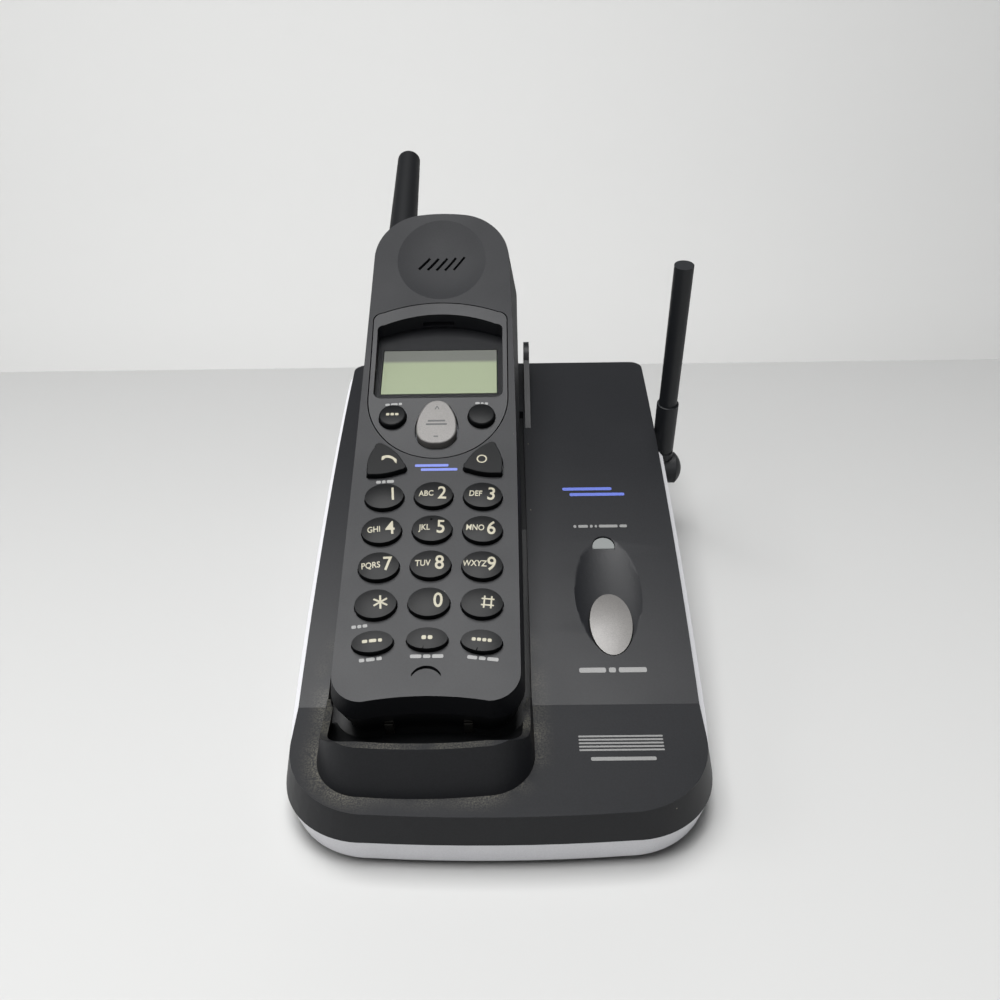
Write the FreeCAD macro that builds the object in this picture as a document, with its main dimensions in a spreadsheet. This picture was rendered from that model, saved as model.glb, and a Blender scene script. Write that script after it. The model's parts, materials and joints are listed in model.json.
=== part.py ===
import FreeCAD, Part
import math
import os
import Sketcher

# Cordless phone: a handset lying in its desk base.  Millimetres.
# +X right, +Y to the back, +Z up.  The origin is the centre of the base's flat underside.

doc = FreeCAD.newDocument("CordlessPhone")
sheet = doc.addObject("Spreadsheet::Sheet", "Sizes")


# --- sizes that carry their sheet expression ------------------------------------------------------

class Size:
    """A length or an angle: its number, and the sheet expression that gives it."""

    def __init__(self, number, text):
        self.number = float(number)
        self.text = text

    def __add__(self, other):
        other = as_size(other)
        return Size(self.number + other.number, f"({self.text} + {other.text})")

    def __sub__(self, other):
        other = as_size(other)
        return Size(self.number - other.number, f"({self.text} - {other.text})")

    def __mul__(self, other):
        other = as_size(other)
        return Size(self.number * other.number, f"({self.text} * {other.text})")

    def __truediv__(self, other):
        other = as_size(other)
        return Size(self.number / other.number, f"({self.text} / {other.text})")

    def __radd__(self, other):
        return as_size(other) + self

    def __rsub__(self, other):
        return as_size(other) - self

    def __rmul__(self, other):
        return as_size(other) * self

    def __neg__(self):
        return Size(-self.number, f"(-1 * {self.text})")


def as_size(value):
    """A plain number becomes a Size that never changes."""
    if isinstance(value, Size):
        return value
    return Size(value, f"({float(value)!r})")


def root(value):
    return Size(math.sqrt(value.number), f"sqrt({value.text})")


def sine(angle):
    angle = as_size(angle)
    return Size(math.sin(math.radians(angle.number)), f"sin({angle.text})")


def cosine(angle):
    angle = as_size(angle)
    return Size(math.cos(math.radians(angle.number)), f"cos({angle.text})")


def tangent(angle):
    return Size(math.tan(math.radians(angle.number)), f"tan({angle.text})")


def arc_sine(value):
    return Size(math.degrees(math.asin(value.number)), f"(asin({value.text}) / 1 deg)")


def arc_tangent(value):
    return Size(math.degrees(math.atan(value.number)), f"(atan({value.text}) / 1 deg)")


def cell(row, alias, number):
    """One driving dimension: a plain number in the sheet, with its name."""
    sheet.set(f"A{row}", alias)
    sheet.set(f"B{row}", str(number))
    sheet.setAlias(f"B{row}", alias)
    return Size(number, f"Sizes.{alias}")


class Sheet:
    """The driving dimensions, each written once."""

    def __init__(self, rows):
        for row, (alias, number) in enumerate(rows, start=1):
            setattr(self, alias, cell(row, alias, number))


size = Sheet([
    # base cabinet
    ("base_width", 128.4),
    ("base_depth", 213.0),
    ("base_wall", 2.4),
    ("lid_inset", 2.7),
    ("lid_edge", 2.8),
    ("front_height", 19.8),
    ("front_lean", 0.9),
    ("front_bulge", 1.3),
    ("front_corner", 26.0),
    ("back_corner", 5.0),
    ("skirt_height", 8.8),
    ("skirt_rise_start", 17.0),
    ("crease_depth", 40.8),
    ("crease_height", 22.2),
    ("deck_hollow", 0.4),
    ("lid_radius", 769.0),
    ("lid_slope", 17.0),
    ("shoulder_drop", 3.4),
    ("undercut", 1.5),
    ("floor_thickness", 2.4),
    ("foot_radius", 6.0),
    ("foot_height", 1.5),
    ("foot_recess", 0.8),
    ("foot_gap", 0.15),
    ("foot_margin", 16.0),
    ("foot_front_margin", 42.0),
    ("foot_back_margin", 10.0),
    # cradle
    ("cradle_offset", 21.2),
    ("channel_gap", 2.0),
    ("channel_sink", 3.0),
    ("channel_back_gap", 37.0),
    ("tub_wall", 2.2),
    ("seat_gap", 0.5),
    ("contact_side", 12.0),
    ("contact_half_width", 1.3),
    ("cup_front", 7.8),
    ("cup_half_width", 31.6),
    ("cup_corner", 14.0),
    ("cup_height", 35.0),
    ("cup_front_lean", 3.9),
    ("cup_side_lean", 2.4),
    ("cup_wall", 2.2),
    ("cup_floor", 15.5),
    ("rim_low_depth", 31.0),
    ("rim_low_height", 26.6),
    ("rim_end_depth", 47.0),
    ("fin_back_gap", 5.0),
    ("fin_length", 46.0),
    ("fin_top_length", 14.0),
    ("fin_height", 69.2),
    ("fin_thickness", 2.2),
    ("fin_gap", 0.6),
    # button, lens and their board
    ("control_side", 36.7),
    ("recess_centre", 81.5),
    ("recess_half_width", 11.25),
    ("recess_half_length", 26.3),
    ("recess_sag", 2.2),
    ("locator_depth", 69.1),
    ("locator_half_width", 6.9),
    ("locator_half_length", 11.9),
    ("locator_gap", 0.35),
    ("locator_travel", 1.2),
    ("locator_skirt", 4.4),
    ("locator_rise", 1.0),
    ("locator_crown", 60.0),
    ("switch_half_width", 3.0),
    ("switch_stem", 0.5),
    ("lens_depth", 103.0),
    ("lens_half_width", 3.7),
    ("lens_length", 4.9),
    ("button_board_depth", 86.0),
    ("button_board_sink", 9.0),
    ("button_board_half_width", 12.0),
    ("button_board_half_length", 29.0),
    ("stand_radius", 2.2),
    # base antenna
    ("pivot_back_gap", 44.5),
    ("pivot_height", 27.9),
    ("pivot_radius", 2.2),
    ("pivot_play", 0.06),
    ("knuckle_radius", 6.3),
    ("knuckle_reach", 9.8),
    ("whip_side_gap", 1.1),
    ("whip_radius", 3.5),
    ("whip_length", 91.5),
    ("whip_lean", 7.8),
    ("sleeve_radius", 4.2),
    ("sleeve_end", 32.5),
    ("alcove_inset", 3.3),
    ("alcove_lead", 13.5),
    # screws, board and inlets in the base
    ("screw_radius", 1.2),
    ("screw_head_radius", 2.4),
    ("screw_head_height", 1.8),
    ("boss_radius", 2.9),
    ("boss_split", 12.0),
    ("screw_front_margin", 6.5),
    ("screw_back_margin", 14.0),
    ("screw_front_depth", 24.0),
    ("screw_back_gap", 22.0),
    ("board_thickness", 1.6),
    ("board_height", 6.0),
    ("inlet_gap", 0.3),
    # handset case, measured from the 0 key on its face
    ("seat_depth", 60.4),
    ("seat_height", 46.3),
    ("incline", 19.1),
    ("handset_half_width", 29.4),
    ("handset_draft", 8.5),
    ("parting_depth", 9.0),
    ("handset_foot", 34.0),
    ("handset_head", 175.0),
    ("handset_foot_corner", 10.0),
    ("handset_foot_hollow", 1.7),
    ("handset_head_corner", 23.0),
    ("handset_head_crown", 69.0),
    ("face_flat", 55.0),
    ("face_radius", 400.0),
    ("case_wall", 2.0),
    ("back_depth", 25.0),
    ("back_inset", 3.0),
    ("back_round", 10.0),
    ("back_rise_start", 118.0),
    ("back_rise", 12.0),
    # keys
    ("key_pitch_across", 16.45),
    ("key_pitch_along", 13.93),
    ("key_half_width", 6.45),
    ("key_half_length", 5.1),
    ("key_drop", 0.5),
    ("key_height", 2.1),
    ("key_foot", 2.8),
    ("key_gap", 0.35),
    ("key_travel", 0.8),
    ("key_crown", 40.0),
    ("function_half_width", 6.2),
    ("function_half_length", 3.6),
    ("function_row", 12.8),
    # display
    ("panel_centre", 86.8),
    ("panel_half_width", 25.1),
    ("panel_foot", 27.9),
    ("panel_shoulder", 121.0),
    ("panel_top", 129.7),
    ("panel_gap", 0.4),
    ("panel_foot_depth", 3.4),
    ("window_half_width", 23.5),
    ("window_low", 86.0),
    ("window_high", 117.0),
    ("window_crown", 7.6),
    ("pane_thickness", 1.2),
    ("lcd_low", 90.4),
    ("lcd_high", 112.6),
    ("lcd_half_width", 21.2),
    ("lcd_gap", 0.3),
    ("tab_slot_left", 7.0),
    ("tab_slot_right", 5.0),
    # ear end
    ("ear_centre", 150.0),
    ("ear_radius", 17.25),
    ("ear_sag", 2.4),
    ("ear_slot_pitch", 3.4),
    ("ear_slot_half_width", 0.5),
    ("ear_slot_half_length", 3.5),
    ("ear_slot_slant", 38.0),
    ("stub_side", 17.4),
    ("stub_height", 3.0),
    ("stub_radius", 5.9),
    ("stub_tip_radius", 4.9),
    ("stub_tip_length", 2.8),
    ("stub_end", 231.0),
    # inside the handset
    ("handset_screw_side", 13.0),
    ("handset_screw_place", 160.0),
    ("handset_boss_radius", 2.8),
    ("mat_thickness", 1.2),
    ("battery_half_width", 19.0),
    ("battery_low", 12.0),
    ("battery_high", 62.0),
    ("battery_thickness", 13.0),
    ("cover_half_width", 24.0),
    ("cover_low", 8.0),
    ("cover_high", 69.6),
    ("cover_thickness", 1.9),
    ("cover_gap", 0.1),
])

nodes = {}


# --- small builders -------------------------------------------------------------------------------

def bind(thing, path, value):
    """Bind one property of a document object to the sheet."""
    thing.setExpression(path, as_size(value).text)


def new(kind, name):
    return doc.addObject(kind, name)


def box(name, x, y, z):
    """A box between two bound places along each axis."""
    made = new("Part::Box", name)
    for side, (low, high) in zip(("Length", "Width", "Height"), (x, y, z)):
        bind(made, side, as_size(high) - low)
    for axis, (low, high) in zip("xyz", (x, y, z)):
        bind(made, "Placement.Base." + axis, low)
    return made


TURNS = {
    "z": FreeCAD.Rotation(),
    "x": FreeCAD.Rotation(FreeCAD.Vector(0, 1, 0), 90),
    "y": FreeCAD.Rotation(FreeCAD.Vector(1, 0, 0), -90),
}


def at(made, x, y, z):
    """Bind an object's place."""
    for axis, value in zip("xyz", (x, y, z)):
        bind(made, "Placement.Base." + axis, value)
    return made


def cylinder(name, along, start, radius, length):
    """A cylinder that starts at a place and runs along +X, +Y or +Z."""
    made = new("Part::Cylinder", name)
    made.Placement = FreeCAD.Placement(FreeCAD.Vector(), TURNS[along])
    bind(made, "Radius", radius)
    bind(made, "Height", length)
    return at(made, *start)


def ball(name, centre, radius):
    made = new("Part::Sphere", name)
    bind(made, "Radius", radius)
    return at(made, *centre)


def ellipse_prism(name, centre, half_across, half_along, low, high):
    """An upright oval column: its long axis may lie across or along."""
    ring = new("Part::Ellipse", name + "_ring")
    wide = as_size(half_across).number >= as_size(half_along).number
    turn = 0 if wide else 90
    ring.Placement = FreeCAD.Placement(FreeCAD.Vector(), FreeCAD.Rotation(FreeCAD.Vector(0, 0, 1), turn))
    bind(ring, "MajorRadius", half_across if wide else half_along)
    bind(ring, "MinorRadius", half_along if wide else half_across)
    at(ring, centre[0], centre[1], low)
    return extrusion(name, ring, as_size(high) - low)


def extrusion(name, profile, length):
    made = new("Part::Extrusion", name)
    made.Base = profile
    made.DirMode = "Normal"
    made.Solid = True
    bind(made, "LengthFwd", length)
    return made


PLANES = {
    "xy": FreeCAD.Rotation(),
    "yz": FreeCAD.Rotation(FreeCAD.Vector(1, 1, 1), 120),
}


def outline(name, plane, level, stops):
    """A closed sketch.  A stop is (u, v), or (u, v, via_u, via_v) when an arc leads to it."""
    sketch = new("Sketcher::SketchObject", name)
    sketch.Placement = FreeCAD.Placement(FreeCAD.Vector(), PLANES[plane])
    bind(sketch, "Placement.Base." + {"xy": "z", "yz": "x"}[plane], level)
    stops = [tuple(as_size(value) for value in stop) for stop in stops]
    ends = []
    for number, stop in enumerate(stops):
        start = point(stops[number - 1])
        end = point(stop)
        if len(stop) == 2:
            index = sketch.addGeometry(Part.LineSegment(start, end), False)
            ends.append((index, 1, 2))
            continue
        index = sketch.addGeometry(Part.Arc(start, point(stop[2:]), end), False)
        forward = sketch.getPoint(index, 1).sub(start).Length < sketch.getPoint(index, 1).sub(end).Length
        ends.append((index, 1, 2) if forward else (index, 2, 1))
        middle = sketch.addGeometry(Part.Point(point(stop[2:])), True)
        sketch.addConstraint(Sketcher.Constraint("PointOnObject", middle, 1, index))
        hold(sketch, middle, 1, stop[2:])
    for number, stop in enumerate(stops):
        before = ends[number]
        after = ends[(number + 1) % len(ends)]
        sketch.addConstraint(Sketcher.Constraint("Coincident", before[0], before[2], after[0], after[1]))
        hold(sketch, before[0], before[2], stop)
    return sketch


def point(stop):
    return FreeCAD.Vector(stop[0].number, stop[1].number, 0)


def hold(sketch, index, end, stop):
    """Bind a sketch point's two distances from the sketch's origin."""
    for kind, value in zip(("DistanceX", "DistanceY"), stop[:2]):
        added = sketch.addConstraint(Sketcher.Constraint(kind, -1, 1, index, end, value.number))
        sketch.setExpression(f"Constraints[{added}]", value.text)


def side_prism(name, stops, left, right):
    """A side outline (y, z) carried across from left to right."""
    return extrusion(name, outline(name + "_outline", "yz", left, stops), as_size(right) - left)


def plan_prism(name, stops, low, high):
    """A plan outline (x, y) carried up from low to high."""
    return extrusion(name, outline(name + "_outline", "xy", low, stops), as_size(high) - low)


def loft(name, plane, first_level, first_stops, second_level, second_stops):
    """A straight-walled body between two outlines of the same build."""
    made = new("Part::Loft", name)
    made.Sections = [
        outline(name + "_start", plane, first_level, first_stops),
        outline(name + "_end", plane, second_level, second_stops),
    ]
    made.Solid = True
    made.Ruled = True
    return made


def fuse(name, *pieces):
    made = new("Part::MultiFuse", name)
    made.Shapes = list(pieces)
    return made


def common(name, *pieces):
    made = new("Part::MultiCommon", name)
    made.Shapes = list(pieces)
    return made


def cut(name, base, *tools):
    made = new("Part::Cut", name)
    made.Base = base
    made.Tool = tools[0] if len(tools) == 1 else fuse(name + "_tools", *tools)
    return made


def node(label, made):
    """Name a finished sub-part and keep it for export."""
    made.Label = label
    nodes[label] = made
    return made


def framed(label, place, angle, *pieces):
    """Carry pieces from a tilted working frame to their place in the assembly."""
    made = new("Part::Compound", label + "_placed")
    made.Links = list(pieces)
    made.Placement = FreeCAD.Placement(FreeCAD.Vector(), FreeCAD.Rotation(FreeCAD.Vector(1, 0, 0), 10))
    bind(made, "Placement.Rotation.Angle", angle)
    return at(made, *place)


# --- outlines used more than once -----------------------------------------------------------------

def rounded_plan(half_width, low, high, low_corner, high_corner, low_bulge):
    """A plan with two low corners, two high corners and a bowed low edge, counter-clockwise."""
    low_nook = low_corner * (1 - math.sqrt(0.5))
    high_nook = high_corner * (1 - math.sqrt(0.5))
    return [
        (half_width, high - high_corner),
        (half_width - high_corner, high, half_width - high_nook, high - high_nook),
        (high_corner - half_width, high),
        (-half_width, high - high_corner, high_nook - half_width, high - high_nook),
        (-half_width, low + low_corner),
        (low_corner - half_width, low, low_nook - half_width, low + low_nook),
        (half_width - low_corner, low, 0, low - low_bulge),
        (half_width, low + low_corner, half_width - low_nook, low + low_nook),
    ]


def handset_plan(inset):
    """The handset's plan, pulled in all round by the inset.  Its head is crowned."""
    half_width = size.handset_half_width - inset
    foot = -size.handset_foot + inset
    head = size.handset_head - inset
    corner = size.handset_head_corner - inset
    crown = size.handset_head_crown - inset
    corner_x = half_width - corner
    reach = root((crown - corner) * (crown - corner) - corner_x * corner_x)
    corner_y = head - crown + reach
    swing = arc_tangent(reach / corner_x)
    meet_x = corner_x + corner * cosine(swing)
    meet_y = corner_y + corner * sine(swing)
    via_x = corner_x + corner * cosine(swing / 2)
    via_y = corner_y + corner * sine(swing / 2)
    foot_corner = size.handset_foot_corner - inset / 2
    nook = foot_corner * (1 - math.sqrt(0.5))
    return [
        (half_width, corner_y),
        (meet_x, meet_y, via_x, via_y),
        (-meet_x, meet_y, 0, head),
        (-half_width, corner_y, -via_x, via_y),
        (-half_width, foot + foot_corner),
        (foot_corner - half_width, foot, nook - half_width, foot + nook),
        (half_width - foot_corner, foot, 0, foot + size.handset_foot_hollow),
        (half_width, foot + foot_corner, half_width - nook, foot + nook),
    ]


def lid_height(depth, sink=0):
    """Height of the lid's arched top at a depth from the front, less a sink below it."""
    across = lid_centre_y - depth
    radius = size.lid_radius - sink
    return lid_centre_z + root(radius * radius - across * across)


def lid_tilt(depth):
    return arc_sine((lid_centre_y - depth) / size.lid_radius)


def from_front(depth):
    """Depths are taken from the front wall; y is measured from the middle."""
    return front + depth


def face_height(along):
    """Height of the handset's hollow face above its flat lower part."""
    past = as_size(along) - size.face_flat
    return size.face_radius - root(size.face_radius * size.face_radius - past * past)


# --- places worked out from the sizes -------------------------------------------------------------

front = size.base_depth / -2
back = size.base_depth / 2
half_base = size.base_width / 2
half_lid = half_base - size.lid_inset
lid_centre_y = size.crease_depth + size.lid_radius * sine(size.lid_slope)
lid_centre_z = size.crease_height - size.lid_radius * cosine(size.lid_slope)
sky = lid_height(size.base_depth) + 40
channel_half = size.handset_half_width + size.channel_gap
cradle_x = -size.cradle_offset
channel_end = size.base_depth - size.channel_back_gap
seat = (cradle_x, from_front(size.seat_depth), size.seat_height)
overrun = as_size(5)


def lid_profile(sink, edge_front):
    """Side outline from a low line up to the deck and lid, both lowered by the sink."""
    middle = (size.crease_depth + size.base_depth) / 2
    deck_end = size.crease_height - sink
    deck_start = size.front_height - sink
    return [
        (front - overrun, edge_front),
        (back + overrun, edge_front),
        (back + overrun, lid_height(size.base_depth + overrun, sink)),
        (from_front(size.crease_depth), deck_end, from_front(middle), lid_height(middle, sink)),
        (front - overrun, deck_start, from_front(size.crease_depth / 2),
         (deck_end + deck_start) / 2 - size.deck_hollow),
    ]


# --- base: cabinets -------------------------------------------------------------------------------

def cabinet_plan(inset, side_inset, front_inset):
    """The base's plan, pulled in by a wall, by a side lean and by a front lean."""
    return rounded_plan(
        half_base - side_inset - inset,
        front + front_inset + size.front_bulge + inset,
        back - inset,
        size.front_corner - inset,
        size.back_corner - inset / 2,
        size.front_bulge,
    )


def upper_mass(name, inset, low):
    """The skirt that flares down to a level, with the straight stretch above it."""
    skirt = loft(
        name + "_skirt", "xy",
        low, cabinet_plan(inset, as_size(0), as_size(0)),
        size.crease_height, cabinet_plan(inset, size.lid_inset, size.front_lean),
    )
    upright = plan_prism(
        name + "_upright", cabinet_plan(inset, size.lid_inset, size.front_lean), size.crease_height, sky)
    return fuse(name, skirt, upright)


def parting_line(lower):
    """The parting line from back to front, as stops: the lid's edge, then down to the skirt."""
    rise = from_front(size.skirt_rise_start)
    crease = from_front(size.crease_depth)
    middle = (size.crease_depth + size.base_depth) / 2
    edge = size.lid_edge + lower
    low = size.skirt_height - lower * 0.3
    crease_z = size.crease_height - edge
    return [
        (back + overrun, lid_height(size.base_depth + overrun, edge)),
        (crease, crease_z, from_front(middle), lid_height(middle, edge)),
        (rise, low, (rise + crease) / 2 + 2, (low + crease_z) / 2 - 1.6),
        (front - overrun, low),
    ]


def under_parting(lower):
    """The lower cabinet's side outline under the parting line."""
    return [(front - overrun, 0), (back + overrun, 0), *parting_line(lower)]


def cup_plan(inset, rise):
    """The cradle cup's plan at a height, pulled in by a wall.  Rise 0 is the deck, 1 the lip."""
    return rounded_plan(
        size.cup_half_width - inset - size.cup_side_lean * rise,
        from_front(size.cup_front + 0.9 + inset + size.cup_front_lean * rise),
        from_front(size.rim_end_depth),
        size.cup_corner - inset - 2 * rise,
        as_size(1.5),
        as_size(0.9),
    )


def cup_body(name, inset, low, high):
    """A drafted column with the cup's walls, moved over to the cradle."""
    deck = size.crease_height
    tall = size.cup_height - deck
    low_rise = (low - deck) / tall
    high_rise = (high - deck) / tall
    made = loft(name + "_column", "xy", low, cup_plan(inset, low_rise), high, cup_plan(inset, high_rise))
    return at(gathered(name, made), cradle_x, 0, 0)


def gathered(name, *pieces):
    made = new("Part::Compound", name)
    made.Links = list(pieces)
    return made


def channel_body(name, grow):
    """The space the handset lies in, above its back and above the sunk channel, grown by a wall."""
    half = channel_half + grow
    tilted = box(
        name + "_bed", (-half, half),
        (-size.handset_foot - size.seat_gap - grow, channel_end),
        (-size.back_depth - size.seat_gap - grow, size.back_depth * 2))
    bed = framed(name + "_bed", seat, size.incline, tilted)
    start = size.crease_depth - 1
    middle = (start + channel_end) / 2
    end = channel_end + grow
    sink = size.channel_sink + grow
    slab = side_prism(name + "_slab", [
        (from_front(start), sky),
        (from_front(start), lid_height(start, sink)),
        (from_front(end), lid_height(end, sink), from_front(middle), lid_height(middle, sink)),
        (from_front(end), sky),
    ], cradle_x - half, cradle_x + half)
    return bed, slab


lid_top = side_prism("lid_top", lid_profile(as_size(0), as_size(0)), -half_base, half_base)
lid_under = side_prism("lid_under", lid_profile(size.base_wall, as_size(-5)), -half_base, half_base)
above_parting = side_prism(
    "above_parting", [(front - overrun, sky), (back + overrun, sky), *parting_line(as_size(0))],
    -half_base - 1, half_base + 1)
upper_outer = common(
    "upper_outer", upper_mass("upper_mass", as_size(0), size.skirt_height), lid_top, above_parting)
upper_inner = common(
    "upper_inner", upper_mass("upper_room", size.base_wall, size.skirt_height - overrun), lid_under)
upper_shell = cut("upper_shell", upper_outer, upper_inner)

cup_outer = cup_body("cup_outer", as_size(0), size.crease_height - 4, size.cup_height + 3)
cup_inner = cup_body("cup_inner", size.cup_wall, size.cup_floor, size.cup_height + 6)
rim_limit = side_prism("rim_limit", [
    (from_front(size.cup_front - 6), size.front_height - size.base_wall / 2),
    (from_front(size.rim_end_depth + 1), size.crease_height - size.base_wall / 3),
    (from_front(size.rim_end_depth + 1), size.crease_height + 0.5),
    (from_front(size.rim_low_depth), size.rim_low_height,
     from_front((size.rim_end_depth + size.rim_low_depth) / 2), size.rim_low_height - 0.6),
    (from_front(size.cup_front + size.cup_front_lean + size.cup_wall + 1), size.cup_height,
     from_front(size.rim_low_depth - 7), size.rim_low_height + 1.9),
    (from_front(size.cup_front - 6), size.cup_height),
], -half_base, half_base)
cup_walls = common("cup_walls", cup_outer, rim_limit)

channel_bed, channel_slab = channel_body("channel", as_size(0))
liner_bed, liner_slab = channel_body("liner", size.tub_wall)
handset_room = framed(
    "handset_room", seat, size.incline,
    loft(
        "handset_room_column", "xy",
        -size.back_depth - size.seat_gap, handset_plan(-size.seat_gap),
        size.back_depth, handset_plan(-size.seat_gap)),
)
channel_limit = box(
    "channel_limit", (-half_base, half_base),
    (from_front(size.crease_depth), from_front(channel_end)), (0, sky))
channel_cut = common("channel_cut", fuse("channel_space", channel_bed, channel_slab), channel_limit)


fin_end = size.base_depth - size.fin_back_gap
fin_start = fin_end - size.fin_length
fin_top_start = fin_end - size.fin_top_length
fin_shoulder = size.fin_height - size.fin_top_length / 3
fin_inner = cradle_x + channel_half + size.fin_gap
fin = side_prism("fin", [
    (from_front(fin_start), lid_height(fin_start) - size.base_wall / 2),
    (from_front(fin_end), lid_height(fin_end) - size.base_wall),
    (from_front(fin_end - 1.5), fin_shoulder),
    (from_front(fin_top_start), fin_shoulder,
     from_front((fin_end + fin_top_start) / 2), size.fin_height),
], fin_inner, fin_inner + size.fin_thickness)

screw_places = [
    ((half_base - margin) * side, depth)
    for side in (-1, 1)
    for margin, depth in (
        (size.screw_front_margin, from_front(size.screw_front_depth)),
        (size.screw_back_margin, back - size.screw_back_gap),
    )
]


def posts(name, radius, low, high):
    return [
        cylinder(f"{name}_{number}", "z", (x, y, low), radius, as_size(high) - low)
        for number, (x, y) in enumerate(screw_places)
    ]


upper_bosses = common("upper_bosses", fuse("upper_posts", *posts("upper_post", size.boss_radius,
                                                                size.boss_split, sky)), lid_top)

control_x = size.control_side
recess_place = (control_x, from_front(size.recess_centre), lid_height(size.recess_centre))
locator_place = (control_x, from_front(size.locator_depth), lid_height(size.locator_depth))
dish_scale = 1 / math.sqrt(1 - 0.7 * 0.7)
dish_deep = size.recess_sag / 0.3
dish = new("Part::Ellipsoid", "recess_dish")
bind(dish, "Radius1", dish_deep)
bind(dish, "Radius2", size.recess_half_width * dish_scale)
bind(dish, "Radius3", size.recess_half_length * dish_scale)
at(dish, 0, 0, dish_deep * 0.7)
dish_placed = framed("recess", recess_place, lid_tilt(size.recess_centre), dish)
recess_pad = common(
    "recess_pad",
    cut("pad_slab", lid_top,
        side_prism(
            "pad_under", lid_profile(size.base_wall + size.recess_sag, as_size(-5)), -half_base, half_base)),
    ellipse_prism("pad_column", (control_x, from_front(size.recess_centre)),
                  size.recess_half_width + 1.5, size.recess_half_length + 1.5, 0, sky),
)
locator_room = framed(
    "locator_room", locator_place, lid_tilt(size.locator_depth),
    ellipse_prism("locator_hole", (0, 0), size.locator_half_width + size.locator_gap,
                  size.locator_half_length + size.locator_gap, -15, 15))


def half_moon(name, grow, low, high):
    """The lens's plan: a straight near edge and a bowed far edge."""
    near = from_front(size.lens_depth) - size.lens_length / 2 - grow
    far = from_front(size.lens_depth) + size.lens_length / 2 + grow
    left = control_x - size.lens_half_width - grow
    right = control_x + size.lens_half_width + grow
    return plan_prism(name, [(right, near), (left, near, control_x, far)], low, high)


lens_room = half_moon("lens_room", as_size(0.1), size.crease_height, sky)
board_sink = size.button_board_sink
board_depth = size.button_board_depth
stand_side = size.button_board_half_width - size.stand_radius
stand_end = size.button_board_half_length - size.stand_radius
board_frame = (control_x, from_front(board_depth), lid_height(board_depth))
board_tilt = lid_tilt(board_depth)
board_stands = common("board_stands", lid_top, framed("board_stand", board_frame, board_tilt, *[
    cylinder(f"stand_{x}_{y}", "z", (stand_side * (x - 1), stand_end * (y - 1), -board_sink),
             size.stand_radius, board_sink + 3)
    for x in (0, 2) for y in (0, 2)]))
upper_body = fuse(
    "upper_body", upper_shell, cup_walls, upper_bosses, recess_pad, board_stands, fin)
upper_holes = posts("upper_pilot", size.screw_radius + 0.05, 0, lid_height(size.crease_depth) - 4)
node("base_upper_cabinet", cut(
    "upper_cabinet", upper_body, cup_inner, handset_room, channel_cut, dish_placed, locator_room,
    lens_room, *upper_holes))

# --- base: the tub under the cradle ---------------------------------------------------------------

cup_liner = cup_body("cup_liner", as_size(0), size.cup_floor - size.tub_wall, size.crease_height)
tub_limit = box(
    "tub_limit", (-half_lid + size.base_wall, half_lid - size.base_wall),
    (from_front(size.cup_front), from_front(channel_end + size.tub_wall)), (0, sky))
tub_mass = common(
    "tub_mass", fuse("tub_sum", cup_liner, liner_bed, liner_slab), lid_under, tub_limit,
    upper_mass("tub_room", size.base_wall + 0.1, size.skirt_height - overrun))
bed_limit = box(
    "bed_limit", (-half_base, half_base),
    (from_front(size.crease_depth), from_front(channel_end)), (0, sky))
node("cradle_tub", cut(
    "tub", tub_mass, cup_inner, handset_room,
    common("channel_room", fuse("channel_air", channel_bed, channel_slab), bed_limit)))

# --- base: lower cabinet --------------------------------------------------------------------------

lower_plan = loft(
    "lower_foot", "xy", as_size(0), cabinet_plan(as_size(0), size.undercut, size.undercut),
    size.skirt_height, cabinet_plan(as_size(0), as_size(0), as_size(0)))
lower_upright = plan_prism(
    "lower_upright", cabinet_plan(as_size(0), as_size(0), as_size(0)), size.skirt_height, sky)
lower_mass = fuse("lower_mass", lower_plan, lower_upright)


core = side_prism("lower_core", under_parting(as_size(0)), -half_lid, half_lid)
shoulders = [
    loft(f"shoulder_{name}", "yz", side * half_lid, under_parting(as_size(0)),
         side * half_base, under_parting(size.shoulder_drop))
    for name, side in (("right", 1), ("left", -1))
]
lower_outer = common("lower_outer", fuse("lower_sum", core, *shoulders), lower_mass)
room_top = side_prism("room_top", lid_profile(as_size(0), size.floor_thickness), -half_base, half_base)
lower_room = common(
    "lower_room",
    plan_prism("lower_room_plan", cabinet_plan(size.base_wall, size.lid_inset, size.front_lean + 0.6),
               size.floor_thickness, sky),
    room_top)
alcove_wall_x = half_base - size.alcove_inset
alcove_start = back - size.pivot_back_gap - size.alcove_lead
alcove_block = box(
    "alcove_block", (alcove_wall_x - size.base_wall, half_base),
    (alcove_start - size.base_wall, back), (0, sky))
alcove_fill = common("alcove_fill", alcove_block, lower_outer)
alcove = box("alcove", (alcove_wall_x, half_base + 1), (alcove_start, back + 1), (-1, sky))
lower_bosses = posts("lower_post", size.boss_radius, 0, size.boss_split)
pivot_y = back - size.pivot_back_gap
pivot_z = size.pivot_height
pivot_start = alcove_wall_x - size.base_wall - 6
pivot_boss = cylinder("pivot_boss", "x", (pivot_start, pivot_y, pivot_z), size.knuckle_radius, 7)
pivot_hole = cylinder(
    "pivot_hole", "x", (pivot_start - 1, pivot_y, pivot_z), size.pivot_radius + 0.05, 20)
board_posts = [
    cylinder(f"board_post_{number}", "z", (x, y, 0), 2.5, size.board_height)
    for number, (x, y) in enumerate([
        (-40, from_front(75)), (40, from_front(75)), (-40, back - 30), (36, back - 30)])
]
power_place = (-38, back)
line_place = (-10, back)
inlet_height = size.board_height + size.board_thickness
power_half = as_size(5.5)
line_half = as_size(6.5)
power_top = inlet_height + 11
line_top = inlet_height + 11.5
power_hole = box(
    "power_hole",
    (power_place[0] - power_half - size.inlet_gap, power_place[0] + power_half + size.inlet_gap),
    (back - 6, back + 1), (inlet_height - size.inlet_gap, power_top + size.inlet_gap))
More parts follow.
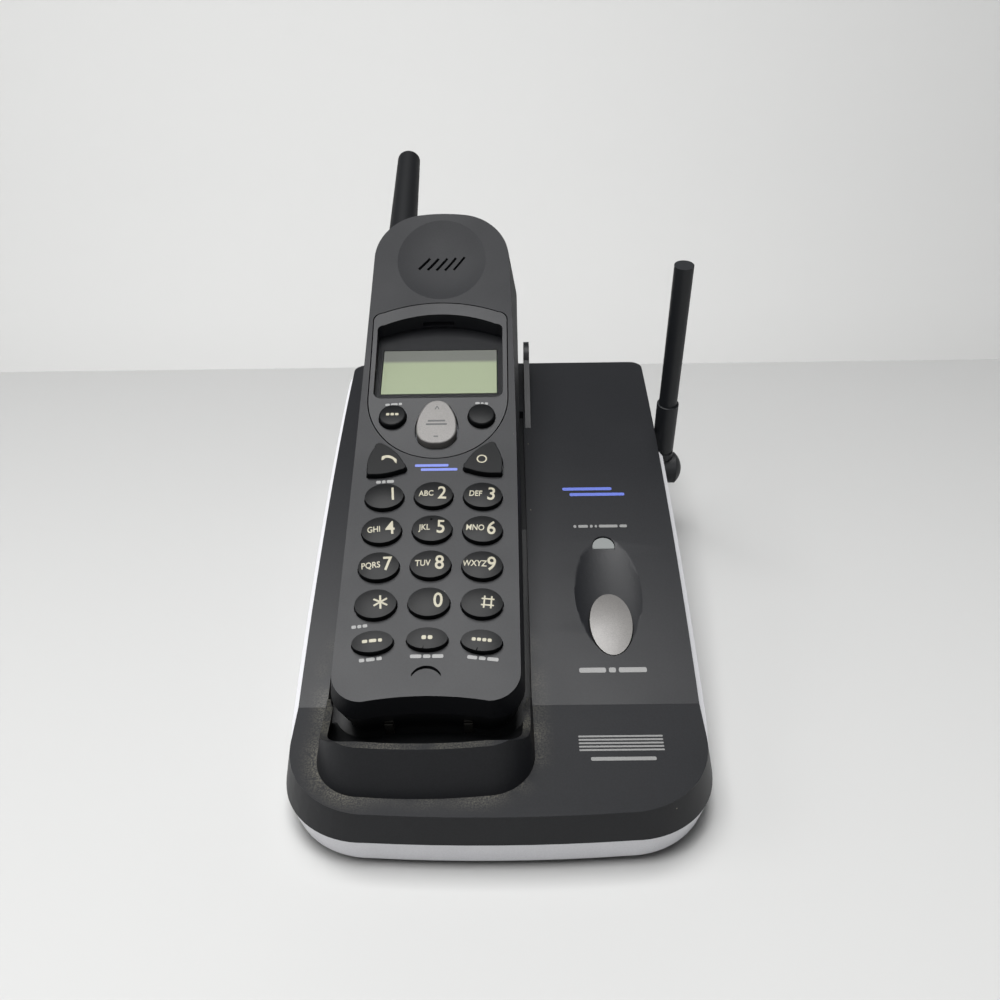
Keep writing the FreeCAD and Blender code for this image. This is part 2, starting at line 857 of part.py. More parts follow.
line_hole = box(
    "line_hole", (line_place[0] - line_half - size.inlet_gap, line_place[0] + line_half + size.inlet_gap),
    (back - 6, back + 1), (inlet_height - size.inlet_gap, line_top + size.inlet_gap))
screw_ways = posts("screw_way", size.screw_radius + 0.1, -1, size.boss_split + 1)
head_ways = posts("head_way", size.screw_head_radius + 0.2, -1, size.screw_head_height + 1.2)
lower_hollow = cut("lower_hollow", lower_outer, lower_room)
lower_body = fuse(
    "lower_body", lower_hollow, alcove_fill, pivot_boss, *lower_bosses, *board_posts)
foot_places = [
    (side * (half_base - size.foot_margin), depth)
    for side in (-1, 1)
    for depth in (front + size.foot_front_margin, back - size.foot_back_margin)
]
foot_recesses = [
    cylinder(f"foot_recess_{number}", "z", (x, y, -1), size.foot_radius + size.foot_gap, size.foot_recess + 1)
    for number, (x, y) in enumerate(foot_places)
]
node("base_lower_cabinet", cut(
    "lower_cabinet", lower_body, alcove, pivot_hole, power_hole, line_hole,
    *screw_ways, *head_ways, *foot_recesses))

node("base_feet", gathered("feet", *[
    cylinder(f"foot_{number}", "z", (x, y, -size.foot_height), size.foot_radius,
             size.foot_height + size.foot_recess)
    for number, (x, y) in enumerate(foot_places)]))


def screw(name, x, y, head_low, length):
    """A self-tapping screw, head down."""
    head = cylinder(name + "_head", "z", (x, y, head_low), size.screw_head_radius, size.screw_head_height)
    shank = cylinder(name + "_shank", "z", (x, y, head_low), size.screw_radius, length)
    return fuse(name, head, shank)


node("base_screws", gathered("screws", *[
    screw(f"screw_{number}", x, y, 1.2, size.boss_split - 1.2 + 6)
    for number, (x, y) in enumerate(screw_places)]))

# --- base: electrics ------------------------------------------------------------------------------

node("base_circuit_board", box(
    "main_board", (-46, 44), (from_front(68), back - size.base_wall - 3),
    (size.board_height, inlet_height)))
power_body = box(
    "power_body", (power_place[0] - power_half, power_place[0] + power_half),
    (back - 15, back - 0.4), (inlet_height, power_top))
power_bore = cylinder(
    "power_bore", "y", (power_place[0], back - 11, inlet_height + 5.5), 2.8, 12)
node("power_jack", cut("power_inlet", power_body, power_bore))
line_body = box(
    "line_body", (line_place[0] - line_half, line_place[0] + line_half),
    (back - 16, back - 0.4), (inlet_height, line_top))
line_mouth = box(
    "line_mouth", (line_place[0] - 4.9, line_place[0] + 4.9), (back - 12, back + 1),
    (inlet_height + 2, inlet_height + 9))
node("line_jack", cut("line_inlet", line_body, line_mouth))


node("charge_contacts", framed(
    "base_contacts", seat, size.incline,
    *[box(f"base_contact_{name}",
          (size.contact_side * side - size.contact_half_width,
           size.contact_side * side + size.contact_half_width),
          (0.9 - size.handset_foot, 1.25 - size.handset_foot), (-21, -15))
      for name, side in (("left", -1), ("right", 1))]))

node("button_board", framed(
    "buttons_board", board_frame, board_tilt,
    box("small_board", (-size.button_board_half_width, size.button_board_half_width),
        (-size.button_board_half_length, size.button_board_half_length),
        (-board_sink - size.board_thickness, -board_sink))))
locator_oval = ellipse_prism(
    "locator_oval", (0, 0), size.locator_half_width, size.locator_half_length,
    -size.locator_skirt, size.locator_rise + 3)
locator_dome = ball("locator_dome", (0, 0, size.locator_rise - size.locator_crown), size.locator_crown)
node("locator_button", framed(
    "locator", locator_place, lid_tilt(size.locator_depth),
    common("locator_cap", locator_oval, locator_dome)))
switch_top = -size.locator_skirt - size.locator_travel - size.switch_stem - 0.1
node("locator_switch", framed(
    "switch", locator_place, board_tilt,
    box("switch_body", (-size.switch_half_width, size.switch_half_width),
        (-size.switch_half_width, size.switch_half_width), (-board_sink + 0.2, switch_top)),
    cylinder("switch_stem", "z", (0, 0, switch_top), size.switch_half_width / 2, size.switch_stem)))
lens_column = half_moon("lens_column", as_size(0), lid_height(size.lens_depth) - 5, sky)
lens_trim = side_prism("lens_trim", lid_profile(as_size(0.5), as_size(0)), -half_base, half_base)
node("charge_indicator_lens", common("lens", lens_column, lens_trim))
node("indicator_led", framed(
    "led", (control_x, from_front(size.lens_depth), lid_height(size.lens_depth)), board_tilt,
    cylinder("led_body", "z", (0, 0, -board_sink + 0.4), 1.5, board_sink - 6)))

# --- base: antenna --------------------------------------------------------------------------------

whip_x = half_lid + size.whip_side_gap + size.whip_radius
knuckle_start = alcove_wall_x + 0.3
node("antenna_pivot", cylinder(
    "pivot_pin", "x", (pivot_start, pivot_y, pivot_z), size.pivot_radius,
    knuckle_start - pivot_start + 8))
pivot_place = (0, pivot_y, pivot_z)
knuckle_crown = size.knuckle_radius * 1.35
knuckle_length = size.knuckle_reach + 3.4
knuckle = common(
    "knuckle",
    cylinder("knuckle_barrel", "x", (knuckle_start, 0, 0), size.knuckle_radius, knuckle_length),
    fuse("knuckle_round",
         ball("knuckle_ball", (knuckle_start + knuckle_length - knuckle_crown, 0, 0), knuckle_crown),
         box("knuckle_straight", (knuckle_start - 1, knuckle_start + knuckle_length - knuckle_crown),
             (-knuckle_crown, knuckle_crown), (-knuckle_crown, knuckle_crown))))
whip = cylinder("whip_rod", "z", (whip_x, 0, 0), size.whip_radius, size.whip_length)
knuckle_bore = cylinder(
    "knuckle_bore", "x", (knuckle_start - 1, 0, 0), size.pivot_radius + size.pivot_play, 9.3)
sleeve_seat = cut(
    "sleeve_seat_ring",
    cylinder("sleeve_seat_outer", "z", (whip_x, 0, size.knuckle_radius), size.sleeve_radius + 4,
             size.sleeve_end - size.knuckle_radius),
    cylinder("sleeve_seat_inner", "z", (whip_x, 0, size.knuckle_radius), size.whip_radius - 0.6,
             size.sleeve_end - size.knuckle_radius))
node("base_antenna", framed(
    "antenna", pivot_place, size.whip_lean,
    cut("antenna_rod", fuse("antenna_sum", knuckle, whip), knuckle_bore, sleeve_seat)))
node("antenna_sleeve", framed(
    "sleeve", pivot_place, size.whip_lean,
    cut("sleeve_tube",
        cylinder("sleeve_outer", "z", (whip_x, 0, size.knuckle_radius + 0.1), size.sleeve_radius,
                 size.sleeve_end - size.knuckle_radius - 0.2),
        cylinder("sleeve_bore", "z", (whip_x, 0, 0), size.whip_radius - 0.5, size.sleeve_end),
        cut("sleeve_ring",
            cylinder("ring_outer", "z", (whip_x, 0, size.knuckle_radius + 3), size.sleeve_radius + 1, 1.2),
            cylinder("ring_inner", "z", (whip_x, 0, size.knuckle_radius + 3),
                     size.sleeve_radius - 0.5, 1.2)))))


# --- handset: cases, in the handset's own frame ---------------------------------------------------

def handset_node(label, *pieces):
    """Lay handset pieces in the cradle."""
    return node(label, framed(label, seat, size.incline, *pieces))


lean = tangent(size.handset_draft)


def face_profile(name, sink):
    """What lies under the handset's face, lowered by the sink."""
    low = -size.handset_foot - overrun
    high = size.handset_head + overrun
    middle = (size.face_flat + high) / 2
    radius = size.face_radius + sink

    def height(along):
        past = as_size(along) - size.face_flat
        return size.face_radius - root(radius * radius - past * past)

    return side_prism(name, [
        (low, -size.parting_depth - overrun),
        (high, -size.parting_depth - overrun),
        (high, height(high)),
        (size.face_flat, -sink, middle, height(middle)),
        (low, -sink),
    ], -size.handset_half_width, size.handset_half_width)


def drafted_case(name, inset, low, high, base_level, slope):
    """A column with the handset's plan whose walls lean in above or below a level."""
    return loft(
        name, "xy",
        low, handset_plan(inset + (base_level - low) * slope * -1),
        high, handset_plan(inset + (high - base_level) * slope))


parting = -size.parting_depth
crest = face_height(size.handset_head) + 3
front_outer = common(
    "front_outer", drafted_case("front_column", as_size(0), parting, crest, parting, lean),
    face_profile("face_outer", as_size(0)))
front_inner = common(
    "front_inner", drafted_case("front_room", size.case_wall, parting - 1, crest, parting - 1, lean),
    face_profile("face_inner", size.case_wall))
ear_tilt = arc_sine((size.ear_centre - size.face_flat) / size.face_radius)
ear_top = face_height(size.ear_centre)
ear_dish_radius = (size.ear_radius * size.ear_radius + size.ear_sag * size.ear_sag) / (size.ear_sag * 2)
ear_reach = ear_dish_radius - size.ear_sag
ear_dish = ball("ear_dish", (0, size.ear_centre - ear_reach * sine(ear_tilt),
                             ear_top + ear_reach * cosine(ear_tilt)), ear_dish_radius)
ear_floor = as_size(3.6)
ear_pad = common(
    "ear_pad",
    cylinder("ear_pad_column", "z", (0, size.ear_centre, ear_floor), size.ear_radius + 1, 30), front_outer)


def ear_slot(number):
    """One slanted slot of the ear dish."""
    made = box(
        f"ear_slot_{number}", (-size.ear_slot_half_width, size.ear_slot_half_width),
        (-size.ear_slot_half_length, size.ear_slot_half_length), (0, 30))
    turned = gathered(f"ear_slot_turned_{number}", made)
    turned.Placement = FreeCAD.Placement(FreeCAD.Vector(), FreeCAD.Rotation(FreeCAD.Vector(0, 0, 1), 10))
    bind(turned, "Placement.Rotation.Angle", -size.ear_slot_slant)
    return at(turned, size.ear_slot_pitch * number, size.ear_centre, 0)


ear_slots = [ear_slot(number) for number in (-2, -1, 0, 1, 2)]
stub_wall = cylinder(
    "stub_hole", "y", (-size.stub_side, size.handset_head - 9, size.stub_height), size.stub_radius + 0.1, 40)
phone_screw_places = [
    ("left", -size.handset_screw_side, size.handset_screw_place),
    ("right", size.handset_screw_side, size.handset_screw_place),
]
front_bosses = [
    cylinder(f"front_boss_{name}", "z", (x, y, parting), size.handset_boss_radius, 20)
    for name, x, y in phone_screw_places
]
front_boss_mass = common("front_boss_mass", fuse("front_boss_sum", *front_bosses), front_outer)
front_pilots = [
    cylinder(f"front_pilot_{name}", "z", (x, y, parting - 1), size.screw_radius + 0.05, 9)
    for name, x, y in phone_screw_places
]
mic_slot = plan_prism("mic_slot", [
    (4.4, -23.8),
    (-4.4, -23.8, 0, -21.1),
    (-4.4, -24.8),
    (4.4, -24.8, 0, -22.1),
], -8, 5)


def panel_plan(grow):
    """The display panel's outline: a half oval below, straight sides, a crowned top."""
    half = size.panel_half_width + grow
    foot = size.panel_foot + grow
    centre = size.panel_centre
    diagonal = math.sqrt(0.5)
    eighth = math.cos(math.radians(22.5))
    sixteenth = math.sin(math.radians(22.5))
    shoulder = size.panel_shoulder + grow * 0.7
    return [
        (half, shoulder),
        (half - 3.4, shoulder + 4.4, half - 0.9, shoulder + 3.2),
        (3.4 - half, shoulder + 4.4, 0, size.panel_top + grow),
        (-half, shoulder, 0.9 - half, shoulder + 3.2),
        (-half, centre),
        (-half * diagonal, centre - foot * diagonal, -half * eighth, centre - foot * sixteenth),
        (0, centre - foot, -half * sixteenth, centre - foot * eighth),
        (half * diagonal, centre - foot * diagonal, half * sixteenth, centre - foot * eighth),
        (half, centre, half * eighth, centre - foot * sixteenth),
    ]


panel_room = plan_prism("panel_room", panel_plan(size.panel_gap), -size.panel_foot_depth - 4, 30)

# --- handset: keys --------------------------------------------------------------------------------


def drop_key(name, x, y, half_across, half_along, turn, level, grow, low, high):
    """An oval column for a key or for its hole, turned a little about its centre."""
    oval = ellipse_prism(name + "_oval", (0, 0), half_across + grow, half_along + grow, low, high)
    if grow.number == 0:
        crown = ball(name + "_crown", (0, 0, level + size.key_height - size.key_crown), size.key_crown)
        oval = common(name + "_cap", oval, crown)
    turned = gathered(name, oval)
    turned.Placement = FreeCAD.Placement(FreeCAD.Vector(), FreeCAD.Rotation(FreeCAD.Vector(0, 0, 1), turn))
    return at(turned, x, y, 0)


def add_key(label, x, y, half_across, half_along, turn=0):
    """One oval key: returns the column that clears its hole."""
    level = face_height(y) if as_size(y).number > size.face_flat.number else as_size(0)
    low = -size.key_foot
    high = size.key_height + level
    key = drop_key(label + "_key", x, y, half_across, half_along, turn, level, as_size(0), low, high + 1)
    handset_node(label, key)
    return drop_key(
        label + "_hole", x, y, half_across, half_along, turn, level, size.key_gap, low - 8, high + 8)


DIAL = (
    ("key_1", "key_2", "key_3"),
    ("key_4", "key_5", "key_6"),
    ("key_7", "key_8", "key_9"),
    ("key_star", "key_0", "key_hash"),
)
key_holes = []
for row, labels in enumerate(DIAL):
    for column, label in zip((-1, 0, 1), labels):
        key_holes.append(add_key(
            label,
            size.key_pitch_across * column,
            size.key_pitch_along * (3 - row) - size.key_drop * abs(column),
            size.key_half_width,
            size.key_half_length,
            -5 * column,
        ))
for column, label in zip((-1, 0, 1), ("function_key_left", "function_key_middle", "function_key_right")):
    key_holes.append(add_key(
        label,
        size.key_pitch_across * column,
        -size.function_row - size.key_drop * abs(column) * 2,
        size.function_half_width,
        size.function_half_length,
        -6 * column,
    ))


def shaped_key(label, stops, grown_stops, level):
    """A key of a free outline: returns the column that clears its hole."""
    low = -size.key_foot
    column = plan_prism(label + "_column", stops, low, level + size.key_height)
    handset_node(label, column)
    return plan_prism(label + "_hole", grown_stops, low - 8, level + size.key_height + 12)


def call_key_plan(side, grow):
    """A rounded triangle beside the navigator: long side outwards, nose inwards."""
    stops = [
        (21.0 + grow, 62.4 + grow, 22.9 + grow, 57.0),
        (18.6, 64.0 + grow, 20.6 + grow * 0.8, 63.8 + grow * 0.8),
        (10.6 - grow * 0.3, 55.2 + grow * 0.5, 13.6 - grow, 60.0 + grow * 0.5),
        (11.4 - grow * 0.5, 52.4 - grow, 9.9 - grow, 53.4 - grow * 0.5),
        (21.6 + grow * 0.5, 50.4 - grow, 16.5, 50.7 - grow),
        (22.9 + grow, 51.8 - grow * 0.5, 22.8 + grow, 50.7 - grow * 0.6),
    ]
    turned = [tuple(value * side if place % 2 == 0 else value for place, value in enumerate(stop))
              for stop in stops]
    return turned


for side, label in ((-1, "talk_key"), (1, "off_key")):
    key_holes.append(shaped_key(
        label, call_key_plan(side, 0.0), call_key_plan(side, size.key_gap.number), as_size(0)))

panel_holes = []
for side, label in ((-1, "redial_key"), (1, "edit_key")):
    panel_holes.append(add_key(label, 15.8 * side, 77, as_size(4.7), as_size(4.9), 20 * side))


def navigator_plan(grow):
    """An egg, wider at its lower end."""
    return [
        (4.6 + grow, 80.4, 6.6 + grow, 75.4),
        (-4.6 - grow, 80.4, 0, 83.6 + grow),
        (-7.0 - grow, 69.8, -6.6 - grow, 75.4),
        (0, 63.6 - grow, -4.9 - grow * 0.7, 65.1 - grow * 0.7),
        (7.0 + grow, 69.8, 4.9 + grow * 0.7, 65.1 - grow * 0.7),
    ]


panel_holes.append(shaped_key(
    "navigator_key", navigator_plan(0.0), navigator_plan(0.7), face_height(74)))

front_case = cut(
    "front_case",
    fuse("front_sum", cut("front_hollow", front_outer, front_inner), ear_pad, front_boss_mass),
    ear_dish, stub_wall, mic_slot, panel_room, *ear_slots, *front_pilots, *key_holes)
handset_node("handset_front_case", front_case)

# --- handset: display -----------------------------------------------------------------------------

panel_body = common(
    "panel_body", plan_prism("panel_column", panel_plan(as_size(0)), -size.panel_foot_depth, 30), front_outer)


def window_plan(grow):
    """The window's outline: straight sides and foot, a crowned top."""
    half = size.window_half_width + grow
    return [
        (half, size.window_high),
        (half - 2.4, size.window_high + 2.9 + grow, half - 0.6, size.window_high + 2.2),
        (2.4 - half, size.window_high + 2.9 + grow, 0, size.window_high + size.window_crown + grow),
        (-half, size.window_high, 0.6 - half, size.window_high + 2.2),
        (-half, size.window_low + 3),
        (3 - half, size.window_low - grow, 0.9 - half, size.window_low + 0.9 - grow),
        (half - 3, size.window_low - grow),
        (half, size.window_low + 3, half - 0.9, size.window_low + 0.9 - grow),
    ]


window_recess = plan_prism("window_recess", window_plan(as_size(0)), -size.pane_thickness, 30)
lcd_room = box(
    "lcd_room", (-size.lcd_half_width - size.lcd_gap, size.lcd_half_width + size.lcd_gap),
    (size.lcd_low - size.lcd_gap, size.lcd_high + size.lcd_gap), (-10, 0))
tab_slot = box(
    "tab_slot", (-size.tab_slot_left, size.tab_slot_right),
    (size.window_high, size.window_high + 12), (0.4, 2.4))
handset_node("display_panel", cut("panel", panel_body, window_recess, lcd_room, tab_slot, *panel_holes))
handset_node("display_window", plan_prism(
    "pane", window_plan(as_size(-0.15)), -size.pane_thickness + 0.02, 0))
board_top = -size.key_foot - size.key_travel - 0.1 - size.mat_thickness
board_low = board_top - size.board_thickness
handset_node("display_module", box(
    "lcd", (-size.lcd_half_width, size.lcd_half_width), (size.lcd_low, size.lcd_high),
    (board_top, -size.pane_thickness - 0.05)))

# --- handset: inside ------------------------------------------------------------------------------

handset_node("keypad_mat", box("mat", (-24, 24), (-18, 85), (board_top, board_top + size.mat_thickness)))
handset_node("handset_circuit_board", box("phone_board", (-24, 24), (-28, 140), (board_low, board_top)))
handset_node("earpiece_speaker", cylinder(
    "speaker", "z", (0, size.ear_centre, ear_floor - 5.5), 12.5, 5.3))
handset_node("microphone", cylinder("mic", "z", (0, -23.5, board_top), 3, 2.6))
handset_node("handset_ringer", cylinder("ringer", "z", (0, 100, board_low - 5), 8, 5))
stub_start = size.handset_head - 8
stub_rod = new("Part::Cone", "stub_rod")
stub_rod.Placement = FreeCAD.Placement(FreeCAD.Vector(), TURNS["y"])
bind(stub_rod, "Radius1", size.stub_radius)
bind(stub_rod, "Radius2", size.stub_tip_radius)
bind(stub_rod, "Height", size.stub_end - size.stub_tip_length - stub_start)
at(stub_rod, -size.stub_side, stub_start, size.stub_height)
stub_tip = new("Part::Ellipsoid", "stub_tip")
stub_tip.Placement = FreeCAD.Placement(FreeCAD.Vector(), TURNS["y"])
bind(stub_tip, "Radius1", size.stub_tip_length)
bind(stub_tip, "Radius2", size.stub_tip_radius)
bind(stub_tip, "Radius3", size.stub_tip_radius)
at(stub_tip, -size.stub_side, size.stub_end - size.stub_tip_length, size.stub_height)
handset_node("handset_antenna", fuse("stub", stub_rod, stub_tip))


def rear_profile(name, sink, low_level):
    """What lies above the handset's back, pulled in by the sink."""
    foot = -size.handset_foot - 1 + sink
    low = -size.back_depth + low_level
    bend = size.back_round
    nook = bend * (1 - math.sqrt(0.5))
    start = size.back_rise_start
    head = size.handset_head + 1
    middle = (start + head) / 2
    radius = (head - start) * (head - start) / (size.back_rise * 2)
    return side_prism(name, [
        (foot, low + bend),
        (foot + bend, low, foot + nook, low + nook),
        (start, low),
        (head, low + size.back_rise, middle, low + (middle - start) * (middle - start) / (radius * 2)),
        (head, parting + 2),
        (foot, parting + 2),
    ], -size.handset_half_width, size.handset_half_width)


rear_slope = size.back_inset / (size.back_depth - size.parting_depth)


def rear_column(name, inset, top):
    """The rear case's drafted walls, narrower towards the back."""
    return loft(
        name, "xy",
        -size.back_depth - 1, handset_plan(inset + (size.back_depth + 1 - size.parting_depth) * rear_slope),
        top, handset_plan(inset))


back_wall = size.cover_thickness + size.cover_gap + size.case_wall
rear_outer = common(
    "rear_outer", rear_column("rear_walls", as_size(0), parting),
    rear_profile("rear_side", as_size(0), as_size(0)))
rear_inner = common(
    "rear_inner", rear_column("rear_room", size.case_wall, parting + 1),
    rear_profile("rear_room_side", size.case_wall, back_wall))
cover_floor = -size.back_depth + size.cover_thickness + size.cover_gap
cover_way = box(
    "cover_way", (-size.cover_half_width - 0.3, size.cover_half_width + 0.3),
    (-size.handset_foot - 5, size.cover_high + 0.3), (-size.back_depth - 5, cover_floor))
battery_door = box(
    "battery_door", (-size.battery_half_width - 0.5, size.battery_half_width + 0.5),
    (size.battery_low - 0.5, size.battery_high + 0.5), (-size.back_depth - 5, parting - 6))
rear_bosses = [
    cylinder(f"rear_boss_{name}", "z", (x, y, -size.back_depth), size.handset_boss_radius,
             size.back_depth - size.parting_depth)
    for name, x, y in phone_screw_places
]
rear_boss_mass = common("rear_boss_mass", fuse("rear_boss_sum", *rear_bosses), rear_outer)
rear_ways = [
    cylinder(f"rear_way_{name}", "z", (x, y, -size.back_depth - 5), size.screw_radius + 0.1, 30)
    for name, x, y in phone_screw_places
]
rear_heads = [
    cylinder(f"rear_head_{name}", "z", (x, y, -size.back_depth - 5), 2.2, 16)
    for name, x, y in phone_screw_places
]
charge_slots = [
    box(f"charge_slot_{name}",
        (size.contact_side * side - size.contact_half_width - 0.2,
         size.contact_side * side + size.contact_half_width + 0.2),
        (-size.handset_foot - 2, -size.handset_foot + 5), (-20, -15))
    for name, side in (("left", -1), ("right", 1))
]
rear_case = cut(
    "rear_case", fuse("rear_sum", cut("rear_hollow", rear_outer, rear_inner), rear_boss_mass),
    cover_way, battery_door, *rear_ways, *rear_heads, *charge_slots)
handset_node("handset_rear_case", rear_case)
handset_node("battery_cover", box(
    "cover", (-size.cover_half_width, size.cover_half_width), (size.cover_low, size.cover_high),
    (-size.back_depth, -size.back_depth + size.cover_thickness)))
battery_bottom = cover_floor + 0.3
handset_node("battery_pack", box(
    "battery", (-size.battery_half_width, size.battery_half_width), (size.battery_low, size.battery_high),
    (battery_bottom, battery_bottom + size.battery_thickness)))
handset_node("battery_contacts", *[
    box(f"battery_contact_{number}", (x - 2, x + 2), (size.battery_high + 0.2, size.battery_high + 2.5),
        (board_low - 8, board_low)) for number, x in enumerate((-10, 0, 10))])
handset_node("handset_charge_contacts", *[
    box(f"phone_contact_{name}",
        (size.contact_side * side - size.contact_half_width,
         size.contact_side * side + size.contact_half_width),
        (-size.handset_foot + 1.9, -size.handset_foot + 2.9), (-19.8, -15.2))
    for name, side in (("left", -1), ("right", 1))])
handset_node("handset_screws", *[
    fuse(f"phone_screw_{name}",
         cylinder(f"phone_screw_head_{name}", "z", (x, y, -15.8), 2.0, size.screw_head_height),
         cylinder(f"phone_screw_shank_{name}", "z", (x, y, -15.8), size.screw_radius, 11))
    for name, x, y in phone_screw_places])

# --- check and export -----------------------------------------------------------------------------

doc.recompute()
for thing in doc.Objects:
    for state in thing.State:
        if state in ("Invalid", "Error"):
            raise RuntimeError(f"{thing.Name} did not build")
for label, made in nodes.items():
    if made.Shape.isNull() or not made.Shape.isValid() or not made.Shape.Solids:
        raise RuntimeError(f"{label} is not a sound solid")
os.makedirs("parts", exist_ok=True)
for label, made in nodes.items():
    made.Shape.exportStep(f"parts/{label}.step")
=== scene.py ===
import json
import logging
import math
from dataclasses import dataclass, field
from enum import Enum
from typing import Any, Iterable, Sequence

import bmesh
import bpy
from mathutils import Matrix, Vector
from mathutils.bvhtree import BVHTree

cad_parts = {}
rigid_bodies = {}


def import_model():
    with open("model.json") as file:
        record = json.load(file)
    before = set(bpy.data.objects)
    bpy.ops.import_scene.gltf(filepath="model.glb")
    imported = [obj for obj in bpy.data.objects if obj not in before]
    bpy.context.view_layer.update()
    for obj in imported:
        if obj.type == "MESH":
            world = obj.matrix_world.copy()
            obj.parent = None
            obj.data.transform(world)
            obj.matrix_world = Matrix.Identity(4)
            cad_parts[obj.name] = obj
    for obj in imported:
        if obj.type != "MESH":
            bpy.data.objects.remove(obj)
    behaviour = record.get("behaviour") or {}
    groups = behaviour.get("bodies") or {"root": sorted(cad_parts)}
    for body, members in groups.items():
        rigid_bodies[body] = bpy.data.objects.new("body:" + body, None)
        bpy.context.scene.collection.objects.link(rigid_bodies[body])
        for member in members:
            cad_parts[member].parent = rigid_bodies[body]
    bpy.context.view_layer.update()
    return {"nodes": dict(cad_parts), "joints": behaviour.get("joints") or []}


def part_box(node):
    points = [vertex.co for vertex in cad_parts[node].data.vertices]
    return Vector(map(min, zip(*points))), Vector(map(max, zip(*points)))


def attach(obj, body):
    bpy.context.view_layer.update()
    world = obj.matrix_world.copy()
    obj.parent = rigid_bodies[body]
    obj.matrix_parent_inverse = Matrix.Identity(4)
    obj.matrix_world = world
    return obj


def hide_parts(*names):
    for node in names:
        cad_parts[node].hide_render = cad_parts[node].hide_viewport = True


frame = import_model()
log = logging.getLogger("cordless_phone")
logging.basicConfig(level=logging.INFO, format="%(message)s")

MM = 0.001


# --- colours and nodes ----------------------------------------------------------------------------

def linear(code: str) -> tuple[float, float, float, float]:
    """Turn an sRGB hex colour into the linear values that the shaders take.

    Args:
        code: A hash and six hex digits.

    Returns:
        Red, green, blue and a full alpha, linear.
    """
    digits = code.lstrip("#")
    parts = [int(digits[place:place + 2], 16) / 255 for place in (0, 2, 4)]
    red, green, blue = [
        part / 12.92 if part <= 0.04045 else ((part + 0.055) / 1.055) ** 2.4 for part in parts
    ]
    return red, green, blue, 1.0


def add(tree: bpy.types.NodeTree, kind: str, settings: dict[str, Any] | None = None,
        **inputs: Any) -> bpy.types.Node:
    """Add one node with its settings, its values and its links.

    Args:
        tree: The node tree it goes into.
        kind: The node's type name.
        settings: Attributes of the node, such as an operation.
        inputs: Values or sockets for inputs, by name, or by i and a number.

    Returns:
        The new node.
    """
    node = tree.nodes.new(kind)
    for name, value in (settings or {}).items():
        setattr(node, name, value)
    for name, value in inputs.items():
        numbered = name[0] == "i" and name[1:].isdigit()
        socket = node.inputs[int(name[1:])] if numbered else node.inputs[name.replace("_", " ")]
        if isinstance(value, bpy.types.NodeSocket):
            tree.links.new(value, socket)
        else:
            socket.default_value = value
    return node


class Gloss(Enum):
    """How a surface was left by its mould or its finish."""

    FINE_TEXTURE = 0.47
    SATIN = 0.36
    RUBBED = 0.55
    POLISHED = 0.12


@dataclass(frozen=True)
class Finish:
    """What every finish shares: a name, a colour and how it was left."""

    name: str
    colour: str
    gloss: Gloss = Gloss.FINE_TEXTURE
    sheen: float = 0.5

    def start(self) -> tuple[bpy.types.Material, bpy.types.NodeTree, bpy.types.Node, bpy.types.Node]:
        """Make the material with its shader and its object coordinates.

        Returns:
            The material, its tree, its shader and its coordinate node.
        """
        made = bpy.data.materials.new(self.name)
        made.use_nodes = True
        tree = made.node_tree
        shader = tree.nodes["Principled BSDF"]
        shader.inputs["Base Color"].default_value = linear(self.colour)
        shader.inputs["Roughness"].default_value = self.gloss.value
        shader.inputs["Specular IOR Level"].default_value = self.sheen
        return made, tree, shader, add(tree, "ShaderNodeTexCoord")

    def rough(self, tree: bpy.types.NodeTree, shader: bpy.types.Node, where: bpy.types.NodeSocket,
              patch_mm: float, spread: float) -> None:
        """Vary the roughness in soft patches, as handling and wiping leave it.

        Args:
            tree: The material's tree.
            shader: Its shader.
            where: The coordinates to read.
            patch_mm: The size of a patch.
            spread: How far the roughness wanders either way.
        """
        cloud = add(tree, "ShaderNodeTexNoise", Vector=where, Scale=1 / (patch_mm * MM), Detail=3.0)
        wander = add(tree, "ShaderNodeMapRange", Value=cloud.outputs["Fac"],
                     i3=self.gloss.value - spread, i4=self.gloss.value + spread)
        tree.links.new(wander.outputs[0], shader.inputs["Roughness"])

    def grain(self, tree: bpy.types.NodeTree, shader: bpy.types.Node, where: bpy.types.NodeSocket,
              grain_mm: float, depth_mm: float, strength: float) -> None:
        """Raise a fine grain on the surface.

        Args:
            tree: The material's tree.
            shader: Its shader.
            where: The coordinates to read.
            grain_mm: The width of one grain.
            depth_mm: How deep the grain goes.
            strength: How much of it shows.
        """
        noise = add(tree, "ShaderNodeTexNoise", Vector=where, Scale=1 / (grain_mm * MM), Detail=2.0)
        bump = add(tree, "ShaderNodeBump", Strength=strength, Distance=depth_mm * MM,
                   Height=noise.outputs["Fac"])
        tree.links.new(bump.outputs[0], shader.inputs["Normal"])

    def tint(self, tree: bpy.types.NodeTree, shader: bpy.types.Node, shade: bpy.types.NodeSocket) -> None:
        """Make the finish's colour lighter and darker by a pattern.

        Args:
            tree: The material's tree.
            shader: Its shader.
            shade: The pattern, 1 where the colour stays as it is.
        """
        mixed = add(tree, "ShaderNodeMix", {"data_type": "RGBA", "blend_type": "MULTIPLY"})
        mixed.inputs["Factor"].default_value = 1.0
        mixed.inputs["A"].default_value = linear(self.colour)
        tree.links.new(shade, mixed.inputs["B"])
        tree.links.new(mixed.outputs["Result"], shader.inputs["Base Color"])


